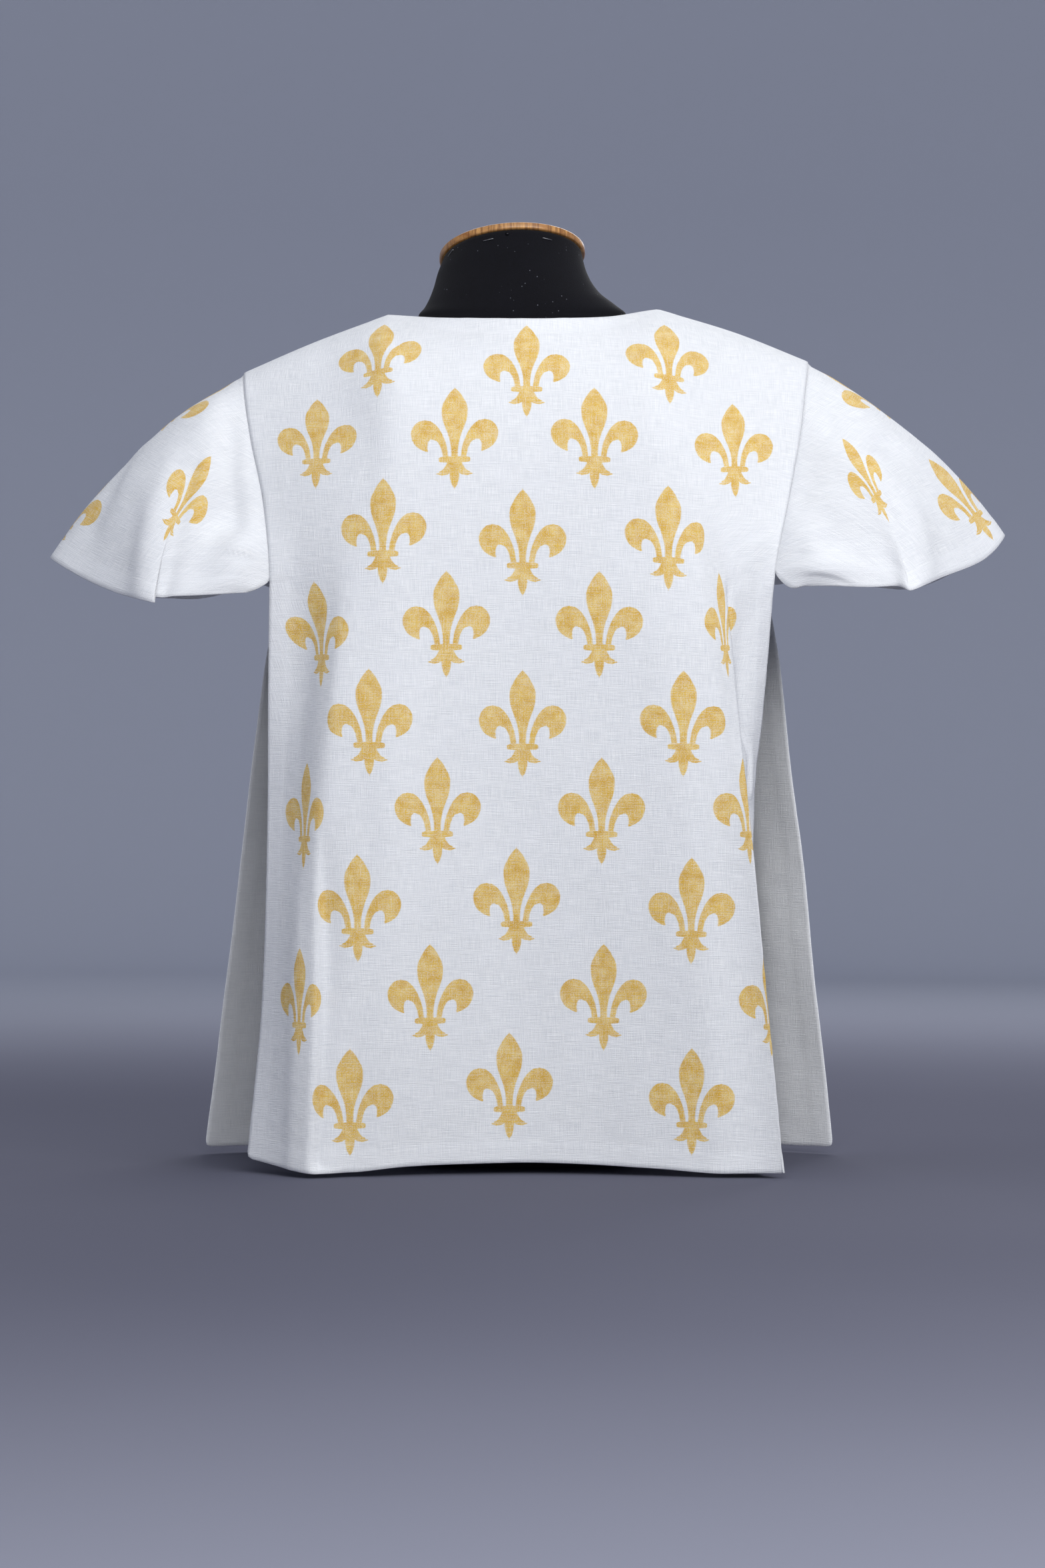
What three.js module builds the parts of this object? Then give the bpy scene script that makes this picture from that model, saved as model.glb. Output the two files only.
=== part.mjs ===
// A linen tabard with two cape sleeves, worn by a limbless dress form that stands on its flat base.
// Units are millimetres. +Z is up, the wearer's back faces -Y and the chest faces +Y.
// "Left" and "right" are meant as seen from behind: left is -X and right is +X.

import * as THREE from "three";

// ---------------------------------------------------------------- driving sizes

const CLOTH = 1.4; // thickness of the linen wall
const SEAM_GAP = 0.35; // clearance between two pieces that are sewn together
const SEAT = 0.4; // clearance between the cloth and the shoulders that carry it
const SHOULDER_SLOPE = 21; // degrees below the level
const SEAM_STEP = 0.8; // how far the sleeve lies below the body at the armhole seam

const ARMHOLE_ROWS = 10; // grid rows from the shoulder tip to the armhole's lower end
const SKIRT_ROWS = 13; // grid rows from there to the hem
const ARMHOLE_END = 0.524; // where the armhole ends, as a fraction down the panel (see panelPoint)
const PANEL_COLUMNS = 40;
const SLEEVE_ROWS = 12;

const RING_SIDES = 44; // points round each ring of the dress form
const NECK_TILT = 17; // degrees: the neck leans forward, so the cap's back edge is the higher one
const NECK_ROLL = 3.4; // degrees: the cap is lower on the left
const CAP_RADIUS = 65;
const CAP_THICKNESS = 6;
const CAP_ROUNDING = 1.6;
const CAP_CENTRE = new THREE.Vector3(-9, 2, 804.6); // middle of the cap's underside

// ---------------------------------------------------------------- tables of the cloth

// Nine guide lines run down each panel. "across" says where each lies on the cut piece,
// from the left edge (0) to the right edge (1).
const GUIDES = ["leftEdge", "leftFold", "leftNeck", "leftMiddle", "centre",
  "rightMiddle", "rightNeck", "rightFold", "rightEdge"];
const ACROSS = [0, 0.15, 0.275, 0.39, 0.5, 0.61, 0.725, 0.85, 1];
const NECK_POINTS = [2, 6]; // the guide lines that start at the neckline's two corners
const NECK_CORNER_END = 0.2; // "down" value below which the panel is smooth across those lines

// Each section row gives x and y where the nine guide lines cross it. "down" is the square root
// of the fraction of the way down, so that rows are close together over the round of the shoulder.
const BACK = {
  top: [703, 730.5, 754.4, 746.5, 744, 747, 758.7, 739, 713],
  hem: [13, 4.3, 4.6, 8.4, 10.6, 7.4, 4.2, 5.4, 12],
  sections: [
    { down: 0,
      x: [-248, -184, -119, -63, 0, 64, 121.7, 188, 254],
      y: [-0.2, -0.2, -0.2, -49, -66, -49, -0.2, -0.2, -0.2] },
    { down: 0.1,
      x: [-247, -182, -118, -63, 0, 64, 120, 186, 253],
      y: [-20, -27, -33, -57, -71, -57, -33, -27, -20] },
    { down: 0.19,
      x: [-245, -175, -116, -63, 0, 65, 118, 180, 250],
      y: [-35, -49, -62, -75, -83, -75, -62, -49, -35] },
    { down: 0.3,
      x: [-239, -161, -112, -64, 0, 66, 114, 168, 245],
      y: [-52, -78, -95, -99, -101, -99, -94, -76, -51] },
    { down: 0.424,
      x: [-226, -145, -106, -66, 0, 70, 110, 161, 233],
      y: [-72, -108, -117, -118, -116, -117, -116, -105, -71] },
    { down: 0.524,
      x: [-219.8, -148, -108, -70, 0, 76, 118, 168, 219.5],
      y: [-90, -118, -125, -125, -121, -123, -123, -116, -90] },
    { down: 0.616,
      x: [-220.6, -156, -115, -76, 0, 82, 126, 177, 213.4],
      y: [-88, -127, -131, -128, -122, -126, -129, -127, -86] },
    { down: 0.707,
      x: [-221, -167, -124, -82, 0, 88, 136, 188, 206],
      y: [-86, -133, -135, -130, -121, -126, -133, -136, -80] },
    { down: 0.787,
      x: [-222, -171.5, -130, -86, 0, 92, 144, 197.5, 201.5],
      y: [-88, -138, -137, -130, -119, -125, -137, -143, -76] },
    { down: 0.894,
      x: [-226, -174, -138, -92, 0, 100, 156, 210, 202],
      y: [-90, -144, -137, -128, -113, -124, -141, -148, -66] },
    { down: 1,
      x: [-238.5, -176, -146, -100, 0, 108, 170, 224, 205],
      y: [-95, -150, -134, -124, -109, -126, -144, -150, -58] },
  ],
};

const FRONT = {
  top: [703, 730.5, 754.4, 713, 688, 714, 758.7, 739, 713],
  hem: [7, 6, 5, 7, 9, 7, 5, 6, 7],
  sections: [
    { down: 0,
      x: [-248, -184, -119, -82, 0, 84, 121.7, 188, 254],
      y: [0.2, 0.2, 0.2, 62, 82, 62, 0.2, 0.2, 0.2] },
    { down: 0.1,
      x: [-247, -182, -117, -79, 0, 81, 119, 186, 253],
      y: [20, 27, 36, 68, 86, 68, 36, 27, 20] },
    { down: 0.19,
      x: [-245, -175, -115, -76, 0, 78, 117, 180, 250],
      y: [33, 48, 62, 80, 92, 80, 62, 48, 33] },
    { down: 0.3,
      x: [-239, -162, -112, -74, 0, 76, 114, 168, 245],
      y: [47, 74, 91, 102, 108, 102, 91, 74, 47] },
    { down: 0.424,
      x: [-228, -152, -110, -74, 0, 76, 113, 158, 235],
      y: [62, 98, 114, 122, 125, 122, 114, 98, 62] },
    { down: 0.524,
      x: [-224, -156, -114, -78, 0, 80, 117, 162, 224],
      y: [76, 110, 126, 132, 132, 131, 124, 110, 76] },
    { down: 0.616,
      x: [-235, -166, -122, -82, 0, 84, 124, 173, 234],
      y: [76, 114, 130, 132, 130, 131, 128, 114, 75] },
    { down: 0.707,
      x: [-246, -177, -130, -86, 0, 88, 132, 183, 243],
      y: [76, 117, 134, 132, 127, 130, 131, 117, 74] },
    { down: 0.787,
      x: [-256, -187, -138, -91, 0, 92, 139, 193, 254],
      y: [77, 120, 138, 132, 124, 130, 136, 120, 75] },
    { down: 0.894,
      x: [-271, -200, -150, -98, 0, 98, 150, 202, 267],
      y: [79, 124, 143, 133, 120, 131, 140, 126, 77] },
    { down: 1,
      x: [-289, -214, -162, -106, 0, 106, 160, 212, 283],
      y: [82, 128, 148, 134, 116, 131, 144, 131, 80] },
  ],
};

// Lesser folds of the panels: a smooth ridge (out, mm) beside a guide line, fading in and out.
const BACK_FOLDS = [
  { at: 0.192, width: 0.028, out: -9, from: 0.72, full: 0.9 },
  { at: 0.335, width: 0.05, out: 3.5, from: 0.55, full: 0.85 },
  { at: 0.78, width: 0.04, out: -4, from: 0.6, full: 0.9 },
];
const FRONT_FOLDS = [
  { at: 0.2, width: 0.04, out: -6, from: 0.6, full: 0.9 },
  { at: 0.62, width: 0.05, out: 4, from: 0.55, full: 0.9 },
  { at: 0.8, width: 0.035, out: -5, from: 0.62, full: 0.92 },
];

// A sleeve row is one line from the armhole seam out to the sleeve's hem. "seam" runs from -1 at
// the back end of the armhole, over the shoulder tip at 0, to 1 at its front end.
const LEFT_SLEEVE = [
  { seam: -1.0, middle: [-228, -95, 507.5], hem: [-238, -99, 503] },
  { seam: -0.86, middle: [-246, -104, 534], hem: [-264, -108, 501] },
  { seam: -0.7, middle: [-262, -82, 560], hem: [-294, -106, 500] },
  { seam: -0.56, middle: [-280, -88, 584], hem: [-313, -104, 499] },
  { seam: -0.46, middle: [-291, -84, 597], hem: [-316, -122, 493.5] },
  { seam: -0.3, middle: [-311, -66, 615], hem: [-346, -87, 501] },
  { seam: -0.14, middle: [-332, -32, 631], hem: [-392, -42, 521] },
  { seam: 0.0, middle: [-342.5, 0, 635], hem: [-424, 0, 541] },
  { seam: 0.16, middle: [-328, 36, 627], hem: [-390, 46, 524] },
  { seam: 0.4, middle: [-300, 80, 604], hem: [-340, 96, 508] },
  { seam: 0.62, middle: [-270, 92, 576], hem: [-302, 110, 507] },
  { seam: 0.84, middle: [-246, 92, 544], hem: [-264, 100, 514] },
  { seam: 1.0, middle: [-232, 80, 517], hem: [-242, 84, 519] },
];
const RIGHT_SLEEVE = [
  { seam: -1.0, middle: [230, -95, 512], hem: [241, -99, 510] },
  { seam: -0.86, middle: [248, -106, 538], hem: [267, -106, 508.5] },
  { seam: -0.7, middle: [266, -92, 562], hem: [297, -109, 507] },
  { seam: -0.56, middle: [286, -88, 586], hem: [326, -105, 509] },
  { seam: -0.46, middle: [300, -86, 602], hem: [332, -122, 502.7] },
  { seam: -0.3, middle: [322, -62, 622], hem: [364, -84, 517] },
  { seam: -0.14, middle: [345, -30, 636], hem: [410, -38, 536] },
  { seam: 0.0, middle: [356, 0, 642.5], hem: [431.5, 0, 561.6] },
  { seam: 0.16, middle: [342, 34, 635], hem: [400, 46, 534] },
  { seam: 0.4, middle: [314, 78, 612], hem: [352, 94, 515] },
  { seam: 0.62, middle: [284, 94, 584], hem: [312, 112, 519] },
  { seam: 0.84, middle: [254, 94, 552], hem: [272, 102, 521] },
  { seam: 1.0, middle: [234, 80, 519], hem: [246, 84, 522] },
];

// ---------------------------------------------------------------- tables of the dress form

// Half widths to the left and right, and the back and front, of the form at each height.
const TRUNK = [
  { z: 0, left: 112, right: 112, back: -44, front: 88 },
  { z: 7, left: 134, right: 134, back: -66, front: 104 },
  { z: 26, left: 153, right: 153, back: -84, front: 110 },
  { z: 62, left: 165, right: 165, back: -95, front: 111 },
  { z: 130, left: 171, right: 171, back: -103, front: 108 },
  { z: 190, left: 165, right: 165, back: -101, front: 103 },
  { z: 260, left: 144, right: 144, back: -86, front: 96 },
  { z: 335, left: 127, right: 127, back: -74, front: 90 },
  { z: 410, left: 137, right: 137, back: -84, front: 99 },
  { z: 480, left: 154, right: 154, back: -96, front: 112 },
  { z: 545, left: 167, right: 167, back: -104, front: 118 },
  { z: 605, left: 179, right: 179, back: -105, front: 110 },
  { z: 650, left: 190, right: 191, back: -98, front: 94 },
  { z: 682, left: 197, right: 199, back: -87, front: 76 },
  { z: 704, left: 198, right: 203, back: -74, front: 63 },
];
// Rings through the shoulders. Each is the outer one of two ovals: the root of the neck, and the
// ridge of the shoulders, "deep" to its back and front. The ridge is as wide as the cloth that
// lies on it allows, and "left" and "right" at most, where the shoulders round down.
const SHOULDERS = [
  { z: 715, left: 195, right: 200, deep: 62, root: 116, back: -64, front: 58 },
  { z: 723, left: 188, right: 197, deep: 50, root: 106, back: -62, front: 56 },
  { z: 731, left: 175, right: 189, deep: 38, root: 98, back: -60, front: 55 },
  { z: 738, left: 170, right: 180, deep: 26, root: 94, back: -59, front: 55 },
  { z: 744, left: 160, right: 170, deep: 16, root: 93, back: -58, front: 55 },
  { z: 748, left: 150, right: 160, deep: 8, root: 93, back: -58, front: 55 },
];
const NECK = [
  { z: 754, x: 0, half: 92.5, back: -58, front: 56, lean: 0.06 },
  { z: 761, x: -2, half: 85.5, back: -58, front: 58, lean: 0.2 },
  { z: 770, x: -6.5, half: 76.5, back: -58, front: 60, lean: 0.4 },
  { z: 781, x: -9, half: 70, back: -58, front: 61, lean: 0.62 },
  { z: 792, x: -10, half: 66, back: -59, front: 62, lean: 0.82 },
];
const NECK_TOP_RADIUS = 62;
const TRUNK_SQUARENESS = 0.9; // 1 is an ellipse, less is squarer

// ---------------------------------------------------------------- curves

// A smooth curve through the values given at rising keys. It never swings past them: it is level
// where they turn back or stay the same. "corner" turns the keys in "corners" from smooth (0) to
// sharp (1).
function through(keys, values, at, corners = [], corner = 0) {
  const last = keys.length - 1;
  let i = 0;
  while (i < last - 1 && at > keys[i + 1]) i += 1;
  const rise = (k) => (values[k + 1] - values[k]) / (keys[k + 1] - keys[k]);
  const slope = (k, own) => {
    if (k === 0 || k === last) return own;
    const before = rise(k - 1);
    const after = rise(k);
    const smooth = before * after <= 0 ? 0 : 2 * before * after / (before + after);
    return corners.includes(k) ? smooth + (own - smooth) * corner : smooth;
  };
  const span = keys[i + 1] - keys[i];
  const t = (at - keys[i]) / span;
  const ease = t * t * (3 - 2 * t);
  const start = slope(i, rise(i)) * span * t * (1 - t) * (1 - t);
  const end = slope(i + 1, rise(i)) * span * t * t * (1 - t);
  return values[i] * (1 - ease) + values[i + 1] * ease + start - end;
}

function smoothstep(from, to, at) {
  const t = THREE.MathUtils.clamp((at - from) / (to - from), 0, 1);
  return t * t * (3 - 2 * t);
}

// ---------------------------------------------------------------- the two panels

// A point of a panel's outer face: "across" runs 0 to 1 from left to right and "down" runs 0 to 1
// from the shoulders and neckline to the hem.
function panelPoint(panel, folds, outSign, across, down) {
  const downs = panel.sections.map((section) => section.down);
  const corner = 1 - smoothstep(0, NECK_CORNER_END, down);
  const over = (values) => through(ACROSS, values, across, NECK_POINTS, corner);
  const at = (column) => over(GUIDES.map((_, g) => (
    through(downs, panel.sections.map((section) => section[column][g]), down))));
  const top = over(panel.top);
  const hem = over(panel.hem);
  let fold = 0;
  for (const { at: middle, width, out, from, full } of folds) {
    fold += out * Math.exp(-(((across - middle) / width) ** 2)) * smoothstep(from, full, down);
  }
  return new THREE.Vector3(at("x"), at("y") + outSign * fold, top + (hem - top) * down * down);
}

// Fractions down the panel for each grid row, with one row exactly at the armhole's lower end.
const DOWNS = [];
for (let row = 0; row <= ARMHOLE_ROWS; row += 1) {
  DOWNS.push(ARMHOLE_END * row / ARMHOLE_ROWS);
}
for (let row = 1; row <= SKIRT_ROWS; row += 1) {
  DOWNS.push(ARMHOLE_END + (1 - ARMHOLE_END) * row / SKIRT_ROWS);
}

function panelGrid(panel, folds, outSign) {
  return DOWNS.map((down) => {
    const row = [];
    for (let column = 0; column <= PANEL_COLUMNS; column += 1) {
      row.push(panelPoint(panel, folds, outSign, column / PANEL_COLUMNS, down));
    }
    return row;
  });
}

// Unit normals of a grid of points; sign turns them to the outside of the garment.
function gridNormals(grid, sign) {
  return grid.map((row, j) => row.map((_, i) => {
    const along = row[Math.min(i + 1, row.length - 1)].clone().sub(row[Math.max(i - 1, 0)]);
    const below = grid[Math.min(j + 1, grid.length - 1)][i].clone().sub(grid[Math.max(j - 1, 0)][i]);
    return along.cross(below).normalize().multiplyScalar(sign);
  }));
}

// At the shoulder seam both panels take the same normal, square to the seam, so that they meet
// edge to edge.
function squareShoulderSeam(grid, normals) {
  const neckColumns = NECK_POINTS.map((guide) => Math.round(ACROSS[guide] * PANEL_COLUMNS));
  const row = grid[0];
  row.forEach((_, i) => {
    if (i > neckColumns[0] && i < neckColumns[1]) return;
    const along = row[Math.min(i + 1, row.length - 1)].clone().sub(row[Math.max(i - 1, 0)]);
    if (i === neckColumns[0]) along.subVectors(row[i], row[i - 1]);
    if (i === neckColumns[1]) along.subVectors(row[i + 1], row[i]);
    along.y = 0;
    normals[0][i].set(-along.z, 0, along.x).normalize();
  });
}

// ---------------------------------------------------------------- the sleeves

// The armhole seam of one side, from its back end over the shoulder tip to its front end: where
// the panels' edges are, which way the cloth leaves them and the panels' normals there.
function armholeSeam(side, panels) {
  const seam = [];
  const take = ({ grid, normals }, row) => {
    const edge = side < 0 ? 0 : PANEL_COLUMNS;
    const inner = side < 0 ? 1 : PANEL_COLUMNS - 1;
    const leave = grid[row][edge].clone().sub(grid[row][inner]).normalize();
    const normal = normals[row][edge];
    leave.addScaledVector(normal, -leave.dot(normal)).normalize();
    const point = grid[row][edge].clone().addScaledVector(leave, SEAM_GAP);
    seam.push({ point: point.addScaledVector(normal, -SEAM_STEP), normal });
  };
  for (let row = ARMHOLE_ROWS; row >= 0; row -= 1) take(panels.back, row);
  for (let row = 1; row <= ARMHOLE_ROWS; row += 1) take(panels.front, row);
  return seam;
}

function sleeveGrid(seam, table) {
  const keys = table.map((line) => line.seam);
  const rows = [];
  for (let j = 0; j <= SLEEVE_ROWS; j += 1) {
    const out = j / SLEEVE_ROWS;
    rows.push(seam.map(({ point }, i) => {
      const at = (i - ARMHOLE_ROWS) / ARMHOLE_ROWS;
      const line = (stop) => new THREE.Vector3(
        ...[0, 1, 2].map((axis) => through(keys, table.map((row) => row[stop][axis]), at)));
      const middle = line("middle");
      const hem = line("hem");
      return point.clone().multiplyScalar((1 - out) * (1 - 2 * out))
        .addScaledVector(middle, 4 * out * (1 - out))
        .addScaledVector(hem, out * (2 * out - 1));
    }));
  }
  return rows;
}

// ---------------------------------------------------------------- solids

// Two triangles between each four neighbours of rows that hold the same number of points. With
// "closedRows" the last point of a row is joined to its first.
function skin(rows, closedRows) {
  const count = rows[0].length;
  const points = rows.flat();
  const faces = [];
  const last = closedRows ? count : count - 1;
  for (let j = 0; j < rows.length - 1; j += 1) {
    for (let i = 0; i < last; i += 1) {
      const a = j * count + i;
      const b = j * count + (i + 1) % count;
      faces.push([a, b, b + count], [a, b + count, a + count]);
    }
  }
  return { points, faces };
}

function closedGeometry(points, faces) {
  let volume = 0;
  for (const [a, b, c] of faces) {
    volume += points[a].dot(points[b].clone().cross(points[c]));
  }
  const ordered = volume > 0 ? faces : faces.map(([a, b, c]) => [a, c, b]);
  const geometry = new THREE.BufferGeometry();
  geometry.setAttribute("position",
    new THREE.Float32BufferAttribute(points.flatMap((p) => [p.x, p.y, p.z]), 3));
  geometry.setIndex(ordered.flat());
  geometry.computeVertexNormals();
  return geometry;
}

// The cloth wall between a grid of outer points and the same grid moved in by its thickness.
function wallGeometry(grid, normals) {
  const inner = grid.map((row, j) => row.map(
    (point, i) => point.clone().addScaledVector(normals[j][i], -CLOTH)));
  const outerSkin = skin(grid, false);
  const innerSkin = skin(inner, false);
  const shift = outerSkin.points.length;
  const faces = [
    ...outerSkin.faces,
    ...innerSkin.faces.map(([a, b, c]) => [a + shift, c + shift, b + shift]),
  ];
  const rows = grid.length;
  const columns = grid[0].length;
  const rim = [];
  for (let i = 0; i < columns - 1; i += 1) rim.push(i);
  for (let j = 0; j < rows - 1; j += 1) rim.push(j * columns + columns - 1);
  for (let i = columns - 1; i > 0; i -= 1) rim.push((rows - 1) * columns + i);
  for (let j = rows - 1; j > 0; j -= 1) rim.push(j * columns);
  rim.forEach((a, k) => {
    const b = rim[(k + 1) % rim.length];
    faces.push([b, a, a + shift], [b, a + shift, b + shift]);
  });
  return closedGeometry([...outerSkin.points, ...inner.flat()], faces);
}

// A solid through rings of points, with a fan over its first and last ring.
function ringSolid(rings) {
  const { points, faces } = skin(rings, true);
  const count = rings[0].length;
  const cover = (start, turned) => {
    const middle = points.length;
    const centre = new THREE.Vector3();
    for (let i = 0; i < count; i += 1) centre.add(points[start + i]);
    points.push(centre.divideScalar(count));
    for (let i = 0; i < count; i += 1) {
      const next = (i + 1) % count;
      faces.push(turned ? [middle, start + next, start + i] : [middle, start + i, start + next]);
    }
  };
  cover(0, true);
  cover((rings.length - 1) * count, false);
  return closedGeometry(points, faces);
}

// ---------------------------------------------------------------- the dress form

const toRadians = THREE.MathUtils.degToRad;

// How the neck and its cap lean, for a share of the full lean.
function neckLean(share) {
  return new THREE.Matrix4()
    .makeRotationY(-toRadians(NECK_ROLL * share))
    .multiply(new THREE.Matrix4().makeRotationX(-toRadians(NECK_TILT * share)));
}

// One ring of the form: a slightly squared oval about the middle of its back and front.
function trunkRing({ z, left, right, back, front }) {
  return ringAngles().map((angle) => {
    const sine = Math.sin(angle);
    const cosine = Math.cos(angle);
    const x = (cosine < 0 ? left : right) * Math.sign(cosine) * Math.abs(cosine) ** TRUNK_SQUARENESS;
    const y = (front - back) / 2 * Math.sign(sine) * Math.abs(sine) ** TRUNK_SQUARENESS;
    return new THREE.Vector3(x, y + (back + front) / 2, z);
  });
}

// How far out the cloth's shoulder line lies on one side (-1 left, 1 right) where the form under
// it, SEAT below the inside of the cloth, has the height z.
function clothHalf(side, backGrid, z) {
  const line = backGrid[0].filter((point) => point.x * side > 0);
  const slope = toRadians(SHOULDER_SLOPE);
  const above = (point) => point.z - (CLOTH + SEAT) / Math.cos(slope) - z;
  const nearest = line.reduce((best, point) => (Math.abs(above(point)) < Math.abs(above(best)) ? point : best));
  return Math.abs(nearest.x) + above(nearest) / Math.tan(slope);
}

// One ring through the shoulders.
function shoulderRing({ z, left, right, deep, root, back, front }, backGrid) {
  const halfLeft = Math.min(left, clothHalf(-1, backGrid, z));
  const halfRight = Math.min(right, clothHalf(1, backGrid, z));
  const reach = (angle, halfWidth, halfDepth) => (
    1 / Math.hypot(Math.cos(angle) / halfWidth, Math.sin(angle) / halfDepth));
  return ringAngles().map((angle) => {
    const ridge = reach(angle, Math.cos(angle) < 0 ? halfLeft : halfRight, deep);
    const neckRoot = reach(angle, root, Math.sin(angle) < 0 ? -back : front);
    const out = Math.max(ridge, neckRoot);
    return new THREE.Vector3(out * Math.cos(angle), out * Math.sin(angle), z);
  });
}

// One ring of the neck, which leans forward.
function neckRing({ z, x, half, back, front, lean }) {
  return ringAngles().map((angle) => (
    new THREE.Vector3(half * Math.cos(angle), (front - back) / 2 * Math.sin(angle), 0)
      .applyMatrix4(neckLean(lean))
      .add(new THREE.Vector3(x, (back + front) / 2, z))));
}

function ringAngles() {
  return [...Array(RING_SIDES).keys()].map((i) => 2 * Math.PI * i / RING_SIDES);
}

function formGeometry(backGrid) {
  const seat = CAP_CENTRE.clone().addScaledVector(capAxis(), -SEAM_GAP);
  const top = ringAngles().map((angle) => (
    new THREE.Vector3(NECK_TOP_RADIUS * Math.cos(angle), NECK_TOP_RADIUS * Math.sin(angle), 0)
      .applyMatrix4(neckLean(1)).add(seat)));
  return ringSolid([
    ...TRUNK.map(trunkRing),
    ...SHOULDERS.map((row) => shoulderRing(row, backGrid)),
    ...NECK.map(neckRing),
    top,
  ]);
}

function capAxis() {
  return new THREE.Vector3(0, 0, 1).applyMatrix4(neckLean(1));
}

// The wooden cap: a round plate with softened edges.
function capGeometry() {
  const profile = [new THREE.Vector2(0, 0)];
  for (const [height, turn] of [[CAP_ROUNDING, -90], [CAP_THICKNESS - CAP_ROUNDING, 0]]) {
    for (let step = 0; step <= 3; step += 1) {
      const angle = toRadians(turn + 30 * step);
      profile.push(new THREE.Vector2(
        CAP_RADIUS - CAP_ROUNDING + CAP_ROUNDING * Math.cos(angle),
        height + CAP_ROUNDING * Math.sin(angle)));
    }
  }
  profile.push(new THREE.Vector2(0, CAP_THICKNESS));
  const geometry = new THREE.LatheGeometry(profile, RING_SIDES);
  geometry.rotateX(Math.PI / 2);
  return geometry;
}

// ---------------------------------------------------------------- materials and the model

const linen = () => new THREE.MeshStandardMaterial({ color: 0xeef1f5, roughness: 0.92, metalness: 0 });
const blackJersey = () => new THREE.MeshStandardMaterial({ color: 0x15161b, roughness: 0.95, metalness: 0 });
const oak = () => new THREE.MeshStandardMaterial({ color: 0xc08a4e, roughness: 0.42, metalness: 0 });

function named(name, geometry, material) {
  const mesh = new THREE.Mesh(geometry, material);
  mesh.name = name;
  return mesh;
}

const panels = {};
for (const [name, panel, folds, outSign] of [["back", BACK, BACK_FOLDS, -1], ["front", FRONT, FRONT_FOLDS, 1]]) {
  const grid = panelGrid(panel, folds, outSign);
  const normals = gridNormals(grid, outSign);
  squareShoulderSeam(grid, normals);
  panels[name] = { grid, normals };
}

const tabard = new THREE.Group();
tabard.add(named("back_panel", wallGeometry(panels.back.grid, panels.back.normals), linen()));
tabard.add(named("front_panel", wallGeometry(panels.front.grid, panels.front.normals), linen()));

for (const [name, side, table] of [["sleeve_left", -1, LEFT_SLEEVE], ["sleeve_right", 1, RIGHT_SLEEVE]]) {
  const seam = armholeSeam(side, panels);
  const grid = sleeveGrid(seam, table);
  const normals = gridNormals(grid, side < 0 ? 1 : -1);
  seam.forEach(({ normal }, i) => normals[0][i].copy(normal));
  tabard.add(named(name, wallGeometry(grid, normals), linen()));
}

tabard.add(named("form_torso", formGeometry(panels.back.grid), blackJersey()));

const cap = named("form_cap", capGeometry(), oak());
cap.applyMatrix4(neckLean(1));
cap.position.copy(CAP_CENTRE);
tabard.add(cap);

export default tabard;
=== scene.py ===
"""A linen tabard with two cape sleeves, worn by a limbless dress form with a wooden neck cap.

The tables are in millimetres, as in the part's own source, and the meshes are in metres.
+Z is up and the wearer's back faces -Y. Left is -X and right is +X, as seen from behind.
Every piece of cloth has flat sizes of its own, in millimetres: "side" runs along a row of its
grid, "up" runs from its hem towards the shoulder, and "edge" is the distance to a free edge.
"""
import math

import bpy
import numpy as np
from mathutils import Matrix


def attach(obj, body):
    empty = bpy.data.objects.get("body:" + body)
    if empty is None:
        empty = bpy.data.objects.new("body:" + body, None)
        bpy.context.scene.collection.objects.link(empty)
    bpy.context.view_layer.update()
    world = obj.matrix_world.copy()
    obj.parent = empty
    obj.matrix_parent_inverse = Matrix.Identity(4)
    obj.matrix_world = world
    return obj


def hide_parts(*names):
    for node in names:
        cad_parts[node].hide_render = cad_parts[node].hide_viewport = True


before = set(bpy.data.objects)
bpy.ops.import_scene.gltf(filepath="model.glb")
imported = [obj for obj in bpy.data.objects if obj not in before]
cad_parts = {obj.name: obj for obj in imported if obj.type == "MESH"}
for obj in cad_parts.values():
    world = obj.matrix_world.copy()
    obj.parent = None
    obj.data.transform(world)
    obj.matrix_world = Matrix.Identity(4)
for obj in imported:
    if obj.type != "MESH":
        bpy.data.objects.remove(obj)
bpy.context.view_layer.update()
MM = 0.001

# ---------------- driving sizes (mm)

CLOTH = 1.0  # thickness of one layer of linen
HEM = 18  # depth of the turned hems
HEM_LIFT = 0.28  # how far the second layer lifts a hem, on each face
HEM_SOFT = (1.2, 0.6)  # how far the hem's inner line softens, on each side of it
HEM_TINT = (0.8, 0.4)  # the same for the paler tint of its double layer
EDGE_ROUND = 0.45  # how far a folded edge bulges
EDGE_STARTS = (1.0, 4.0)  # the bulge grows in between these distances from a seam
CORNER_RADIUS = 6  # the bagged corners of the panels
CORNER_PULL = 1.6
CORNER_POWER = 1.3
CORNER_COLUMNS = 8  # a corner is pulled towards the grid point this many columns further in
SEAM_GAP = 0.3
SEAM_STEP = 1.3  # the sleeve lies this much below the body at the armhole seam
SEAM_ROLL = 2.6  # width over which a sewn edge rolls in
SEAM_DEPTH = 0.7  # how far it rolls in
SEAM_QUIET = (2, 26)  # creases grow in between these distances from a seam
OFF_SEAM = 20.0  # added to the distance from a seam beside which an edge is free
FAR = 1000  # more than any distance on the garment
# Unevenness of all the cloth: first seed, height, shortest and longest wave.
WAVES = 14
UNEVEN = [(5, 0.35, 60, 190), (25, 0.08, 14, 40)]
SHOULDER_REST = (20, 90)  # distances from the shoulder between which the form stops carrying
REST_SHARE = 0.7  # how much of each trough the form takes away under the shoulders

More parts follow.
